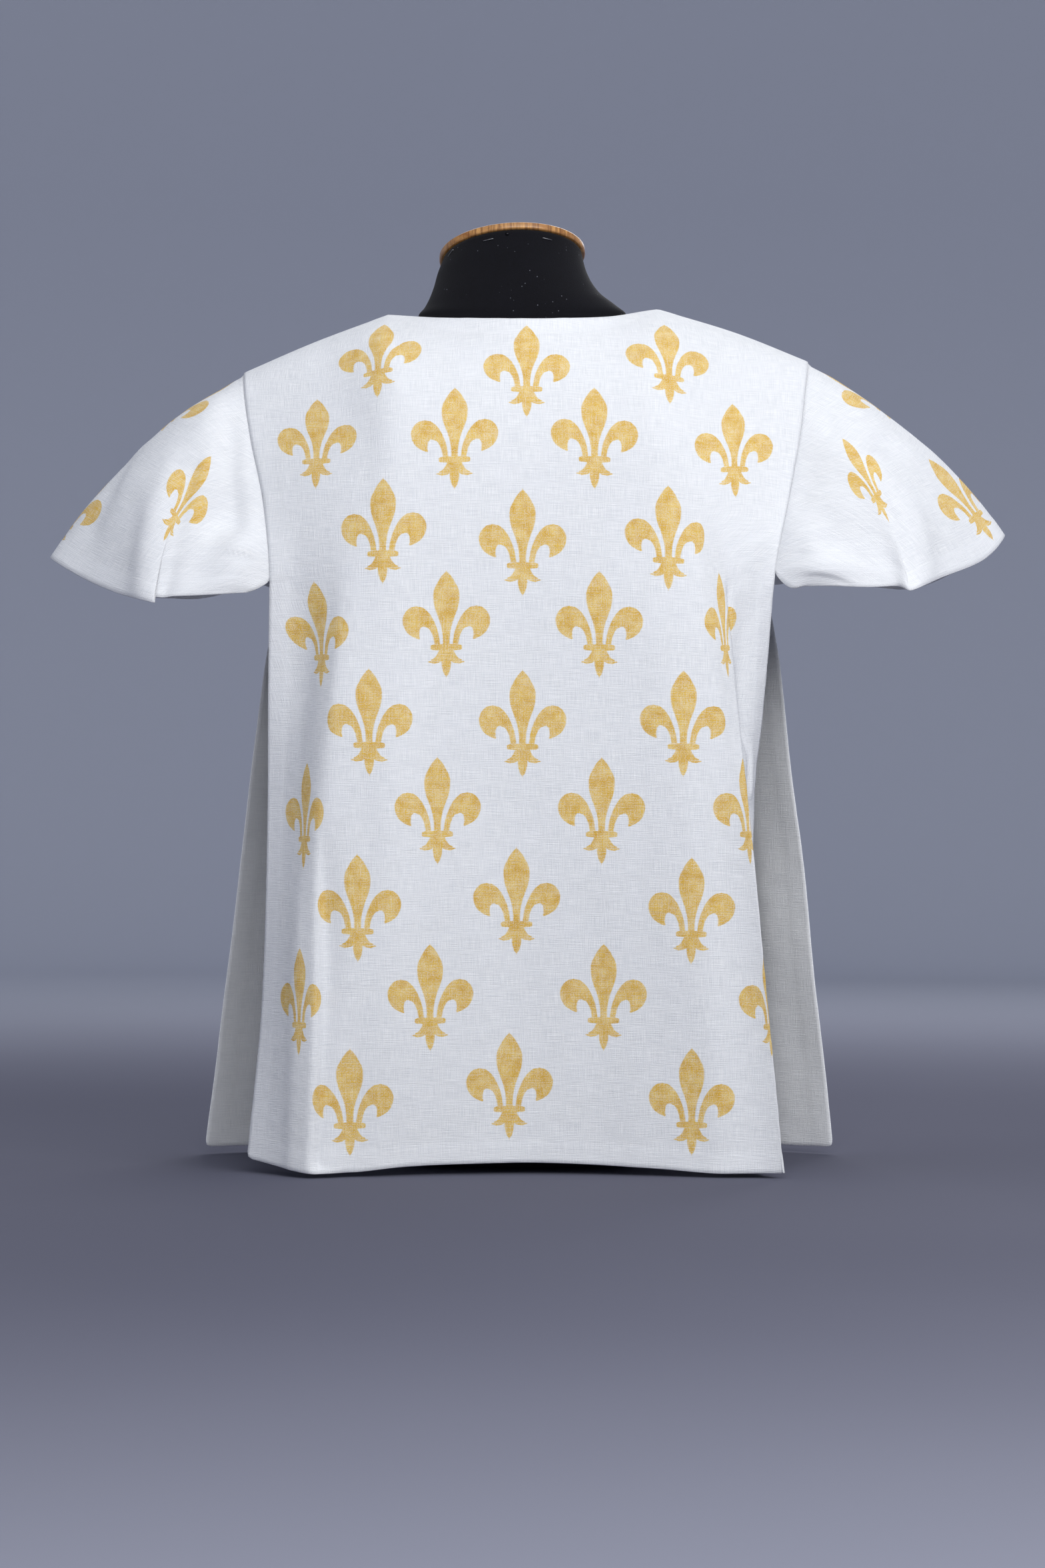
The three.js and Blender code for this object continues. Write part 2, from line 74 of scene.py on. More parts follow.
PANEL_COLUMNS = 168
PANEL_ROWS = 216
SLEEVE_ROWS = 64
PANEL_SMOOTHING = 8  # passes
SLEEVE_SMOOTHING = 10
SMOOTH_FROM = (0.1, 0.3)  # places down a panel between which the smoothing grows in
SMOOTH_TO = (0.985, 1.0)  # and those between which it fades away
FLANKS_MEET = 3  # distance from a crease's line at which each flank has its own width
ARMHOLE_END = 0.524  # place down the panels, from 0 at the shoulder to 1 at the hem
SLEEVE_HALF = 58  # grid columns of a sleeve on each side of the shoulder tip
NECK_CORNER_END = 0.2  # the corners of the neck's edge fade away down to here

NECK_TILT = 17  # degrees that the neck leans towards the chest
NECK_ROLL = 3.4  # degrees that it leans to the left
NECK_TOP_RADIUS = 62
CAP_RADIUS = 65
CAP_THICKNESS = 6
CAP_ROUNDING = 1.6
CAP_STEPS = 6  # in each rounded edge
CAP_CENTRE = np.array([-9, 2, 804.6])
CAP_SEAT = 0.35  # clearance between the neck and the cap
TRUNK_SQUARENESS = 0.9
SHOULDER_SLOPE = 21  # degrees
FORM_CLOTH = 1.4  # the cloth and the clearance that the form's shoulders were drawn for
FORM_SEAT = 0.4
RING_SIDES = 120
RING_STEPS = 5  # mesh rings from one listed ring to the next

# Staples: place round the neck and tilt, both in degrees.
STAPLES = [(-148, 34), (-108, 10), (-60, -8)]
STAPLE_WIDTH = 9.5
STAPLE_WIRE = 0.8
STAPLE_DROP = 0.4  # share of the way from the neck's top to the listed ring below it
# A staple's bends: end, distance from that end inwards, height over the jersey.
STAPLE_BENDS = [(-1, 0, -1.0), (-1, 0, 0.45), (-1, 0.7, 0.9), (1, 0.7, 0.9), (1, 0, 0.45), (1, 0, -1.0)]
WIRE_SIDES = 8
TACK_TURN = -93
TACK_DROP = 0.2
TACK_RADIUS = 1.6
TACK_HEAD = [(1, -0.6), (1, 0.3), (0.7, 0.65), (0.3, 0.8)]  # share of the radius, height
TACK_SIDES = 12

VIEW_DISTANCE = 3540
VIEW_HEIGHT = 337
VIEW_LENS = 91.26  # for the 36 mm long side of the picture

# The stage and the lights are in metres.
STAGE_RADIUS = 5.2
STAGE_COVE = 1.6
STAGE_HEIGHT = 4.6
STAGE_FLOOR = [0.01, 1.0, 2.5]  # radii of the rings on the flat floor
COVE_STEPS = 12
STAGE_SIDES = 96
WHITE = (1.0, 1.0, 1.0)
# Each light: name, place, aim, size, power, tint.
LIGHTS = [
    ("key", (1.5, -2.1, 1.8), (0, 0, 0.62), (1.2, 1.2), 27, (1.0, 0.995, 0.98)),
    ("front", (0.3, -2.9, 1.8), (0, 0, 0.7), (1.8, 1.4), 47, WHITE),
    ("left", (-2.2, -2.6, 0.6), (0, 0, 0.4), (1.4, 1.2), 5, WHITE),
    ("right", (2.4, -2.2, 0.4), (0, 0, 0.3), (1.4, 1.0), 5, WHITE),
    ("rear", (0.4, 2.2, 1.8), (0, 0, 0.4), (1.6, 1.2), 26, WHITE),
]
SKY = (0.9, 0.93, 1.0, 1.0)
SKY_STRENGTH = 0.66

# ---------------- tables of the cloth (mm)

# Both panels are drawn at these places across, from the left armhole or side to the right one.
ACROSS = [0, 0.15, 0.275, 0.39, 0.5, 0.61, 0.725, 0.85, 1]
NECK_POINTS = [2, 6]  # which of them are the ends of the neck's edge
NECK_COLUMNS = [round(ACROSS[k] * PANEL_COLUMNS) for k in NECK_POINTS]

# Each section: place down the panel from 0 to 1, then x and y at the places across.
BACK = {
    "top": [703, 730.5, 754.4, 746.5, 744, 747, 758.7, 739, 713],
    "hem": [13, 4.3, 4.6, 8.4, 10.6, 7.4, 4.2, 5.4, 12],
    "sections": [
        (0, [-248, -184, -119, -63, 0, 64, 121.7, 188, 254],
         [-0.2, -0.2, -0.2, -49, -66, -49, -0.2, -0.2, -0.2]),
        (0.1, [-247, -182, -118, -63, 0, 64, 120, 186, 253],
         [-20, -27, -33, -57, -71, -57, -33, -27, -20]),
        (0.19, [-245, -175, -116, -63, 0, 65, 118, 180, 250],
         [-35, -49, -62, -75, -83, -75, -62, -49, -35]),
        (0.3, [-239, -161, -112, -64, 0, 66, 114, 168, 245],
         [-52, -78, -95, -99, -101, -99, -94, -76, -51]),
        (0.424, [-226, -145, -106, -66, 0, 70, 110, 161, 233],
         [-72, -108, -117, -118, -116, -117, -116, -105, -71]),
        (0.524, [-219.8, -148, -108, -70, 0, 76, 118, 168, 219.5],
         [-90, -118, -125, -125, -121, -123, -123, -116, -90]),
        (0.616, [-220.6, -156, -115, -76, 0, 82, 126, 177, 213.4],
         [-88, -127, -131, -128, -122, -126, -129, -127, -86]),
        (0.707, [-221, -167, -124, -82, 0, 88, 136, 188, 206],
         [-86, -133, -135, -130, -121, -126, -133, -136, -80]),
        (0.787, [-222, -171.5, -130, -86, 0, 92, 144, 197.5, 201.5],
         [-88, -138, -137, -130, -119, -125, -137, -143, -76]),
        (0.894, [-226, -174, -138, -92, 0, 100, 156, 210, 202],
         [-90, -144, -137, -128, -113, -124, -141, -148, -66]),
        (1, [-238.5, -176, -146, -100, 0, 108, 170, 224, 205],
         [-95, -150, -134, -124, -109, -126, -144, -150, -58]),
    ],
}
FRONT = {
    "top": [703, 730.5, 754.4, 713, 688, 714, 758.7, 739, 713],
    "hem": [7, 6, 5, 7, 9, 7, 5, 6, 7],
    "sections": [
        (0, [-248, -184, -119, -82, 0, 84, 121.7, 188, 254],
         [0.2, 0.2, 0.2, 62, 82, 62, 0.2, 0.2, 0.2]),
        (0.1, [-247, -182, -117, -79, 0, 81, 119, 186, 253],
         [20, 27, 36, 68, 86, 68, 36, 27, 20]),
        (0.19, [-245, -175, -115, -76, 0, 78, 117, 180, 250],
         [33, 48, 62, 80, 92, 80, 62, 48, 33]),
        (0.3, [-239, -162, -112, -74, 0, 76, 114, 168, 245],
         [47, 74, 91, 102, 108, 102, 91, 74, 47]),
        (0.424, [-228, -152, -110, -74, 0, 76, 113, 158, 235],
         [62, 98, 114, 122, 125, 122, 114, 98, 62]),
        (0.524, [-224, -156, -114, -78, 0, 80, 117, 162, 224],
         [76, 110, 126, 132, 132, 131, 124, 110, 76]),
        (0.616, [-235, -166, -122, -82, 0, 84, 124, 173, 234],
         [76, 114, 130, 132, 130, 131, 128, 114, 75]),
        (0.707, [-246, -177, -130, -86, 0, 88, 132, 183, 243],
         [76, 117, 134, 132, 127, 130, 131, 117, 74]),
        (0.787, [-256, -187, -138, -91, 0, 92, 139, 193, 254],
         [77, 120, 138, 132, 124, 130, 136, 120, 75]),
        (0.894, [-271, -200, -150, -98, 0, 98, 150, 202, 267],
         [79, 124, 143, 133, 120, 131, 140, 126, 77]),
        (1, [-289, -214, -162, -106, 0, 106, 160, 212, 283],
         [82, 128, 148, 134, 116, 131, 144, 131, 80]),
    ],
}

# Folds that tuck in beside a ridge: place across, width, sideways, inwards, starts, is full.
BACK_TUCKS = [
    (0.912, 0.034, -11, 9, 0.5, 0.66),
    (0.07, 0.06, 0, 9, 0.42, 0.65),
    (0.07, 0.06, 0, -8, 0.74, 0.88),
]
FRONT_TUCKS = [(0.09, 0.04, 3, 5, 0.6, 0.9), (0.91, 0.04, -3, 5, 0.6, 0.9)]

# Cloth that small pleats take up, in flat width outwards of the centre, so that the print narrows
# there: from, to, taken up, starts, is full.
BACK_PLEATS = [
    (0.8, 0.88, 40, 0.46, 0.54),
    (0.8, 0.88, -22, 0.67, 0.72),
    (0.16, 0.06, 26, 0.5, 0.7),
]
FRONT_PLEATS = [(0.85, 0.95, 8, 0.6, 0.8), (0.15, 0.05, 8, 0.6, 0.8)]

# Large soft folds: place across, width, how far out, starts, is full.
BACK_FOLDS = [(0.335, 0.05, 3.5, 0.55, 0.85), (0.78, 0.04, -4, 0.6, 0.9)]
FRONT_FOLDS = [(0.2, 0.04, -6, 0.6, 0.9), (0.62, 0.05, 4, 0.55, 0.9), (0.8, 0.035, -5, 0.62, 0.92)]

# Each sleeve row: place along the armhole seam from its back end at -1 to its front end at 1, then
# a point halfway out and a point on the sleeve's hem.
LEFT_SLEEVE = [
    (-1.0, (-228, -95, 507.5), (-238, -99, 503)),
    (-0.86, (-246, -104, 534), (-264, -108, 501)),
    (-0.7, (-262, -82, 560), (-294, -106, 500)),
    (-0.56, (-280, -88, 584), (-313, -104, 499)),
    (-0.46, (-291, -84, 597), (-316, -122, 493.5)),
    (-0.3, (-311, -66, 615), (-346, -87, 501)),
    (-0.14, (-332, -32, 631), (-392, -42, 521)),
    (0.0, (-342.5, 0, 635), (-424, 0, 541)),
    (0.16, (-328, 36, 627), (-390, 46, 524)),
    (0.4, (-300, 80, 604), (-340, 96, 508)),
    (0.62, (-270, 92, 576), (-302, 110, 507)),
    (0.84, (-246, 92, 544), (-264, 100, 514)),
    (1.0, (-232, 80, 517), (-242, 84, 519)),
]
RIGHT_SLEEVE = [
    (-1.0, (230, -95, 508.5), (241, -99, 508)),
    (-0.86, (248, -106, 538), (267, -106, 508.5)),
    (-0.7, (266, -92, 562), (297, -109, 507)),
    (-0.56, (286, -88, 586), (326, -105, 509)),
    (-0.46, (300, -86, 602), (332, -122, 502.7)),
    (-0.3, (322, -62, 622), (364, -84, 517)),
    (-0.14, (345, -30, 636), (410, -38, 536)),
    (0.0, (356, 0, 642.5), (431.5, 0, 561.6)),
    (0.16, (342, 34, 635), (400, 46, 534)),
    (0.4, (314, 78, 612), (352, 94, 515)),
    (0.62, (284, 94, 584), (312, 112, 519)),
    (0.84, (254, 94, 552), (272, 102, 521)),
    (1.0, (234, 80, 519), (246, 84, 522)),
]

# Each crease: path of x and z, width, depth (a ridge is over 0), skew, fade at its start and end.
BACK_CREASES = [
    ([(-150, 560), (-158, 430), (-170, 330)], 16, 1.8, 0.2, (0.4, 0.4)),
    ([(-170, 330), (-167, 170), (-170, 70), (-174, 15)], 11, -8, 0.25, (0.45, 0)),
    ([(-190, 300), (-193, 170), (-198, 15)], 14, 1.6, 0.0, (0.4, 0)),
    ([(175, 520), (181, 470), (184, 420)], 5, -4.5, 0.0, (0.3, 0.5)),
    ([(183, 450), (191, 384), (197, 325), (204, 274)], 4.5, -4.0, 0.0, (0.3, 0.2)),
    ([(-196, 600), (-190, 470), (-200, 330)], 20, -2.4, 0.0, (0.4, 0.4)),
    ([(-118, 742), (-104, 715), (-84, 690)], 7, -1.3, 0.2, (0.05, 0.5)),
    ([(-128, 728), (-112, 694), (-96, 664)], 9, 1.2, 0.0, (0.2, 0.5)),
    ([(120, 740), (108, 700), (100, 640)], 12, 1.0, 0.0, (0.2, 0.5)),
    ([(-60, 560), (-78, 400), (-90, 210)], 26, -1.3, 0.2, (0.4, 0.4)),
    ([(60, 300), (62, 180), (66, 20)], 24, -1.6, 0.0, (0.5, 0)),
    ([(122, 420), (140, 250), (150, 20)], 22, -1.5, 0.2, (0.5, 0)),
    ([(-30, 260), (-34, 130), (-40, 15)], 22, 1.6, 0.1, (0.5, 0)),
    ([(186, 470), (202, 330), (214, 190)], 12, -2.0, 0.3, (0.4, 0.4)),
    ([(214, 560), (196, 520), (186, 470)], 10, 1.6, 0.0, (0.2, 0.5)),
]
FRONT_CREASES = [
    ([(-118, 736), (-100, 690), (-86, 630)], 10, -1.2, 0.2, (0.2, 0.5)),
    ([(118, 736), (104, 690), (92, 630)], 11, 1.3, 0.0, (0.2, 0.5)),
    ([(-178, 420), (-200, 250), (-214, 20)], 16, 2.4, 0.2, (0.4, 0)),
    ([(-150, 330), (-168, 190), (-176, 20)], 15, -2.4, 0.0, (0.5, 0)),
    ([(150, 400), (176, 230), (186, 20)], 15, -2.2, 0.2, (0.5, 0)),
    ([(186, 430), (206, 250), (216, 20)], 14, 2.2, 0.0, (0.4, 0)),
    ([(-40, 300), (-44, 160), (-50, 15)], 24, 1.6, 0.0, (0.5, 0)),
    ([(30, 340), (36, 180), (44, 20)], 24, -1.6, 0.0, (0.5, 0)),
    ([(-226, 560), (-196, 500), (-180, 430)], 12, -1.8, 0.2, (0.2, 0.5)),
    ([(224, 560), (196, 505), (184, 430)], 12, -1.8, 0.2, (0.2, 0.5)),
]
LEFT_CREASES = [
    ([(-241, 668), (-250, 634), (-254, 606), (-256, 580), (-255, 547)], 11, -7.5, 0.35, (0.15, 0.2)),
    ([(-262, 690), (-270, 640), (-274, 590)], 14, 3.2, 0.0, (0.3, 0.5)),
    ([(-275, 648), (-292, 604), (-300, 563), (-308, 530), (-312, 497)], 10, -7.0, 0.4, (0.3, 0)),
    ([(-312, 610), (-326, 560), (-330, 505)], 13, 3.4, 0.0, (0.4, 0)),
    ([(-245, 540), (-262, 522), (-280, 506)], 8, -2.6, 0.0, (0.1, 0.3)),
    ([(-340, 640), (-366, 590), (-384, 540)], 14, -2.0, 0.2, (0.3, 0.2)),
]
LEFT_FRONT_CREASES = [
    ([(-250, 650), (-262, 600), (-270, 545)], 12, -4.0, 0.3, (0.2, 0.3)),
    ([(-286, 640), (-306, 580), (-318, 515)], 13, 3.6, 0.0, (0.3, 0)),
    ([(-300, 600), (-330, 560), (-352, 515)], 12, -3.0, 0.2, (0.3, 0)),
]
RIGHT_CREASES = [
    ([(253, 688), (274, 648), (284, 626)], 15, -4.0, 0.2, (0.2, 0.5)),
    ([(307, 648), (322, 632), (337, 620)], 17, -4.2, 0.0, (0.4, 0.4)),
    ([(300, 600), (322, 572), (336, 517)], 10, -5.6, -0.35, (0.4, 0)),
    ([(330, 600), (346, 560), (352, 520)], 12, 3.0, 0.0, (0.4, 0)),
    ([(222, 518), (246, 540), (275, 558)], 10, -4.2, 0.2, (0.4, 0.4)),
    ([(246, 516), (262, 520), (295, 532)], 8, 3.2, 0.0, (0.2, 0.4)),
    ([(232, 640), (240, 600), (236, 560)], 11, -2.6, 0.2, (0.3, 0.4)),
    ([(264, 600), (280, 574), (300, 556)], 12, 2.2, 0.0, (0.3, 0.5)),
]
RIGHT_FRONT_CREASES = [
    ([(252, 660), (268, 606), (276, 550)], 12, -4.0, 0.3, (0.2, 0.3)),
    ([(290, 650), (312, 590), (324, 520)], 13, 3.6, 0.0, (0.3, 0)),
    ([(308, 610), (340, 570), (360, 524)], 12, -3.0, 0.2, (0.3, 0)),
]

# ---------------- tables of the dress form (mm)

# height, half width to the left and to the right, back, front
TRUNK = [
    (0, 112, 112, -44, 88), (7, 134, 134, -66, 104), (26, 153, 153, -84, 110),
    (62, 165, 165, -95, 111), (130, 171, 171, -103, 108), (190, 165, 165, -101, 103),
    (260, 144, 144, -86, 96), (335, 127, 127, -74, 90), (410, 137, 137, -84, 99),
    (480, 154, 154, -96, 112), (545, 167, 167, -104, 118), (605, 179, 179, -105, 110),
    (650, 190, 191, -98, 94), (682, 197, 199, -87, 76), (704, 198, 203, -74, 63),
]
# height, half widths, half depth of the ridge, then half width, back and front of the neck's root
SHOULDERS = [
    (715, 195, 200, 62, 116, -64, 58), (723, 188, 197, 50, 106, -62, 56),
    (731, 175, 189, 38, 98, -60, 55), (738, 170, 180, 26, 94, -59, 55),
    (744, 160, 170, 16, 93, -58, 55), (748, 150, 160, 8, 93, -58, 55),
]
# height, x, half width, back, front, share of the full lean
NECK = [
    (754, 0, 92.5, -58, 56, 0.06), (761, -2, 85.5, -58, 58, 0.2), (770, -6.5, 76.5, -58, 60, 0.4),
    (781, -9, 70, -58, 61, 0.62), (792, -10, 66, -59, 62, 0.82),
]

# ---------------- the printed motif (mm)

# A common heraldic lily, charted as height above the middle of its band, and half width.
LILY_CORE = [
    (-26.5, 0), (-23, 1.9), (-20, 3), (-17, 3.7), (-15, 4), (-11.95, 4.1), (-11.85, 13.3), (-11, 13.3),
    (-10, 11.7), (-9, 10.2), (-8, 9.3), (-6, 8), (-4, 6.9), (-2.6, 6.5), (-2.35, 11.5), (-2, 12.7),
    (-1, 13.5), (1, 13.5), (2, 12.4), (2.5, 10.8), (2.75, 3), (5, 2.9), (10, 3.1), (15, 3.8), (20, 5),
    (25, 6.6), (30, 8.5), (35, 10.1), (40, 11), (45, 11.2), (50, 10.4), (55, 8), (60, 5.2), (64, 2),
    (66.6, 0),
]
# The side petals lie between two half widths, less the hollow under their curl.
LILY_PETAL_FROM = [
    (2.6, 5.4), (5, 5.7), (10, 6.4), (15, 7.6), (20, 9.5), (24, 11.3), (27, 13), (30, 15.2),
    (33, 18.3), (35, 21.5), (36, 26),
]
LILY_PETAL_TO = [
    (2.6, 23), (6.7, 23), (7, 23.8), (8, 26.4), (10, 30.2), (13, 33.8), (16, 35.7), (20, 37.2),
    (24, 37.6), (27, 37), (30, 35.6), (33, 33), (35, 30), (36, 26),
]
LILY_HOLLOW_FROM = [
    (1.2, 10.3), (5, 10.5), (6.7, 11), (8, 11.1), (10, 11.7), (12, 12.5), (14, 13.5), (16, 15),
    (17, 16.2), (18, 18.5),
]
LILY_HOLLOW_TO = [
    (1.2, 40), (6.5, 40), (6.8, 23), (8, 22.9), (10, 23.3), (12, 23.3), (14, 23.1), (16, 22.6),
    (17, 21.9), (18, 21),
]
# The small wings at the foot, between two half widths.
LILY_WING_FROM = [(-14.2, 11), (-14, 10), (-13.5, 7), (-13, 5.7), (-12.5, 4.9), (-11.9, 4.1)]
LILY_WING_TO = [(-14.2, 11), (-14, 11.7), (-13.5, 13), (-13, 14.6), (-12.5, 15.8), (-11.9, 15)]
LILY_LOW = -30  # the chart's lowest height
LILY_SPAN = 100  # its range of heights, and the length that one unit of its map stands for
LILY_WIDEST = 40
LILY_SOFT = 0.45  # half the width over which the print's edge fades
LILY_STRAY = 0.9  # how far that edge wanders in all
LILY_MIDDLE = 20  # the middle of the motif's height, above its band
NO_LILY = 90.0  # where the plain inner face lies on the chart

# Where each motif's band lies on the cloth, as x and z.
BACK_LILIES = [
    (-127, 695), (3, 678), (128, 691),
    (-180, 618), (-58, 616), (61, 615), (183, 611),
    (-120, 535), (1, 524), (126, 530),
    (-173, 446), (-67, 454), (66, 453), (175, 454),
    (-131, 369), (-2, 369), (137, 369),
    (-187, 289), (-73, 294), (70, 293), (194, 294),
    (-141, 209), (-3, 215), (144, 207),
    (-191, 130), (-80, 133), (68, 133), (211, 130),
    (-147, 46), (-10, 56), (144, 46),
]
# The chest is printed with the same repeat: rows of three and four in turn.
FRONT_ROWS = 9
FRONT_ROW_PITCH = 79.5
FRONT_COLUMN_PITCH = 126
FRONT_LOWEST = 50
FRONT_SPREAD = (1.12, 0.02)  # the columns' spread at the lowest row, and its loss from row to row
# On the sleeves: x, y and z of the band, its lean in degrees from upright towards the right, the
# share of its width that the gathered cloth leaves to be seen, and how far it drops to the right.
LEFT_LILIES = [
    (-302, -105, 575, 24, 0.66, 0.42), (-308, -3, 655, 54, 1, 0), (-397, 3, 561, 41, 1, 0),
    (-296, 94, 566, 20, 0.8, 0.2),
]
RIGHT_LILIES = [
    (306, -98, 588, -24, 0.44, -0.42), (316, 0, 668, -57, 1, 0), (401, -29, 575, -40, 1, 0),
    (306, 96, 574, -22, 0.8, -0.2),
]


# ---------------- curves

def through(keys, values, at, corners=(), corner=0.0):
    """A smooth curve through each column of values at rising keys, level where the values turn.

    corners lists the numbers of the keys where it bends, and corner says how sharply, from 0 to 1.
    """
    keys = np.asarray(keys, float)
    values = np.asarray(values, float).reshape(len(keys), -1)
    at = np.atleast_1d(np.asarray(at, float))
    gaps = np.diff(keys)
    rise = np.diff(values, axis=0) / gaps[:, None]
    before = rise[:-1]
    after = rise[1:]
    turns = before * after <= 0
    smooth = np.where(turns, 0.0, 2 * before * after / np.where(turns, 1.0, before + after))
    starts = rise.copy()
    starts[1:] = smooth
    ends = rise.copy()
    ends[:-1] = smooth
    for k in corners:
        starts[k] += (rise[k] - starts[k]) * corner
        ends[k - 1] += (rise[k - 1] - ends[k - 1]) * corner
    i = np.clip(np.searchsorted(keys, at, side="right") - 1, 0, len(keys) - 2)
    t = ((at - keys[i]) / gaps[i])[:, None]
    span = gaps[i][:, None]
    ease = t * t * (3 - 2 * t)
    bend = starts[i] * span * t * (1 - t) ** 2 - ends[i] * span * t * t * (1 - t)
    return values[i] * (1 - ease) + values[i + 1] * ease + bend


def smoothstep(start, end, at):
    """0 up to start, 1 from end on, and a soft change between them."""
    t = np.clip((np.asarray(at, float) - start) / (end - start), 0, 1)
    return t * t * (3 - 2 * t)


def unit(vectors):
    return vectors / np.maximum(np.linalg.norm(vectors, axis=-1, keepdims=True), 1e-9)


def cosine_sine(degrees):
    return math.cos(math.radians(degrees)), math.sin(math.radians(degrees))


def turn_x(degrees):
    cosine, sine = cosine_sine(degrees)
    return np.array([[1, 0, 0], [0, cosine, -sine], [0, sine, cosine]])


def turn_y(degrees):
    cosine, sine = cosine_sine(degrees)
    return np.array([[cosine, 0, sine], [0, 1, 0], [-sine, 0, cosine]])


def neck_lean(share):
    """The turn of the form's neck at a share of its full lean."""
    return turn_y(-NECK_ROLL * share) @ turn_x(-NECK_TILT * share)


def grid_normals(points, sign):
    along = np.gradient(points, axis=1)
    below = np.gradient(points, axis=0)
    return unit(np.cross(along, below)) * sign


def steps_between(points, axis, flat_only=False):
    """Lengths between neighbours of a grid along one axis, summed up from its first row or column."""
    moves = np.diff(points, axis=axis)
    if flat_only:
        moves = moves[..., :2]
    lengths = np.linalg.norm(moves, axis=-1)
    start = np.zeros_like(np.take(lengths, [0], axis=axis))
    return np.concatenate([start, np.cumsum(lengths, axis=axis)], axis=axis)


def softened(points, times, share):
    """The grid smoothed along its rows and columns, by the share that each row of it takes."""
    out = points.copy()
    for _ in range(times):
        out[:, 1:-1] = (out[:, :-2] + 2 * out[:, 1:-1] + out[:, 2:]) / 4
    for _ in range(times):
        out[1:-1] = (out[:-2] + 2 * out[1:-1] + out[2:]) / 4
    weight = share[:, None, None]
    return points * (1 - weight) + out * weight


# ---------------- cloth grids

class Cloth:
    """A grid of points (mm) with its normals and flat sizes, from the sewn row 0 to the hem."""

    def __init__(self, points, sign, side_from, level_rows):
        self.points = points
        self.sign = sign
        self.normals = grid_normals(points, sign)
        side = steps_between(points, 1, flat_only=level_rows)
        self.side = side - side[:, side_from:side_from + 1]
        down = steps_between(points, 0)
        self.up = points[-1:, :, 2] * level_rows + down[-1:] - down
        self.from_hem = down[-1:] - down
        self.edge = self.from_hem
        self.lift = np.zeros(points.shape[:2])

    def locate(self, x, z, facing=0):
        """The row and column nearest to x and z. facing -1 or 1 looks only at the back or the front."""
        gap = np.hypot(self.points[..., 0] - x, self.points[..., 2] - z)
        if facing:
            gap = gap + FAR * (self.points[..., 1] * facing < -1)
        return np.unravel_index(np.argmin(gap), gap.shape)

    def locate_point(self, place):
        gap = np.linalg.norm(self.points - np.array(place, float), axis=-1)
        return np.unravel_index(np.argmin(gap), gap.shape)

    def flat_at(self, x, z, facing=0):
        spot = self.locate(x, z, facing)
        return np.array([self.side[spot], self.up[spot]])

    def from_side(self):
        """Distance to the nearer of the two sides, along the cloth."""
        return np.minimum(self.side - self.side[:, :1], self.side[:, -1:] - self.side)


def hump(across, middle, width):
    return np.exp(-((across - middle) / width) ** 2)[None, :]


def panel_points(panel, folds, tucks, out_sign, across, down):
    """The points of a panel at places across and down it. out_sign is -1 on the back, 1 on the front."""
    downs = [section[0] for section in panel["sections"]]
    corner = 1 - smoothstep(0, NECK_CORNER_END, down)

    def over(values):
        return through(ACROSS, values, across, NECK_POINTS, corner).T

    x, y = (over(through(downs, [section[k] for section in panel["sections"]], down).T) for k in (1, 2))
    top, hem = (over(np.tile(np.array([panel[k]], float).T, len(down))) for k in ("top", "hem"))
    for middle, width, out, start, full in folds:
        y = y + out_sign * smoothstep(start, full, down)[:, None] * out * hump(across, middle, width)
    for middle, width, aside, inward, start, full in tucks:
        fold = smoothstep(start, full, down)[:, None] * hump(across, middle, width)
        x = x + aside * fold
        y = y - out_sign * inward * fold
    z = top + (hem - top) * (down ** 2)[:, None]
    return np.stack([x, y, z], axis=-1)


def even_downs(panel, out_sign):
    """Values of "down" for rows that lie about equally far apart, one of them at the armhole's end."""
    fine = np.linspace(0, 1, 600)
    lines = panel_points(panel, [], [], out_sign, np.array([0.0, 0.3, 0.5]), fine)
    length = steps_between(lines, 0).mean(axis=1)
    end = np.interp(ARMHOLE_END, fine, length)
    upper = round(PANEL_ROWS * end / length[-1])
    above = np.linspace(0, end, upper + 1)
    below = np.linspace(end, length[-1], PANEL_ROWS - upper + 1)
    return np.interp(np.concatenate([above, below[1:]]), length, fine), upper


def make_panel(panel, folds, tucks, pleats, out_sign):
    """The grid of the back (out_sign -1) or the front (1), with its distances to edges and seams."""
    across = np.linspace(0, 1, PANEL_COLUMNS + 1)
    down, armhole_rows = even_downs(panel, out_sign)
    points = panel_points(panel, folds, tucks, out_sign, across, down)
    share = smoothstep(*SMOOTH_FROM, down) * (1 - smoothstep(*SMOOTH_TO, down))
    points = round_corners(softened(points, PANEL_SMOOTHING, share))
    cloth = Cloth(points, out_sign, PANEL_COLUMNS // 2, True)
    cloth.armhole_rows = armhole_rows
    square_shoulder_seam(cloth)
    opening = smoothstep(armhole_rows - 1, armhole_rows + 1, np.arange(PANEL_ROWS + 1))[:, None]
    from_side = cloth.from_side() + FAR * (1 - opening)
    rim = points[0, NECK_COLUMNS[0]:NECK_COLUMNS[1] + 1]
    from_neck = np.min(np.linalg.norm(points[:, :, None, :] - rim[None, None, ::2, :], axis=-1), axis=2)
    outward = np.sign(across - 0.5)[None, :]
    for start, end, taken, begins, full in pleats:
        reach = smoothstep(0, 1, (across - start) / (end - start))[None, :]
        cloth.side = cloth.side + outward * taken * reach * smoothstep(begins, full, down)[:, None]
    cloth.edge = np.minimum.reduce([cloth.from_hem, from_side, from_neck])
    cloth.seam = seam_distance(cloth)
    return cloth


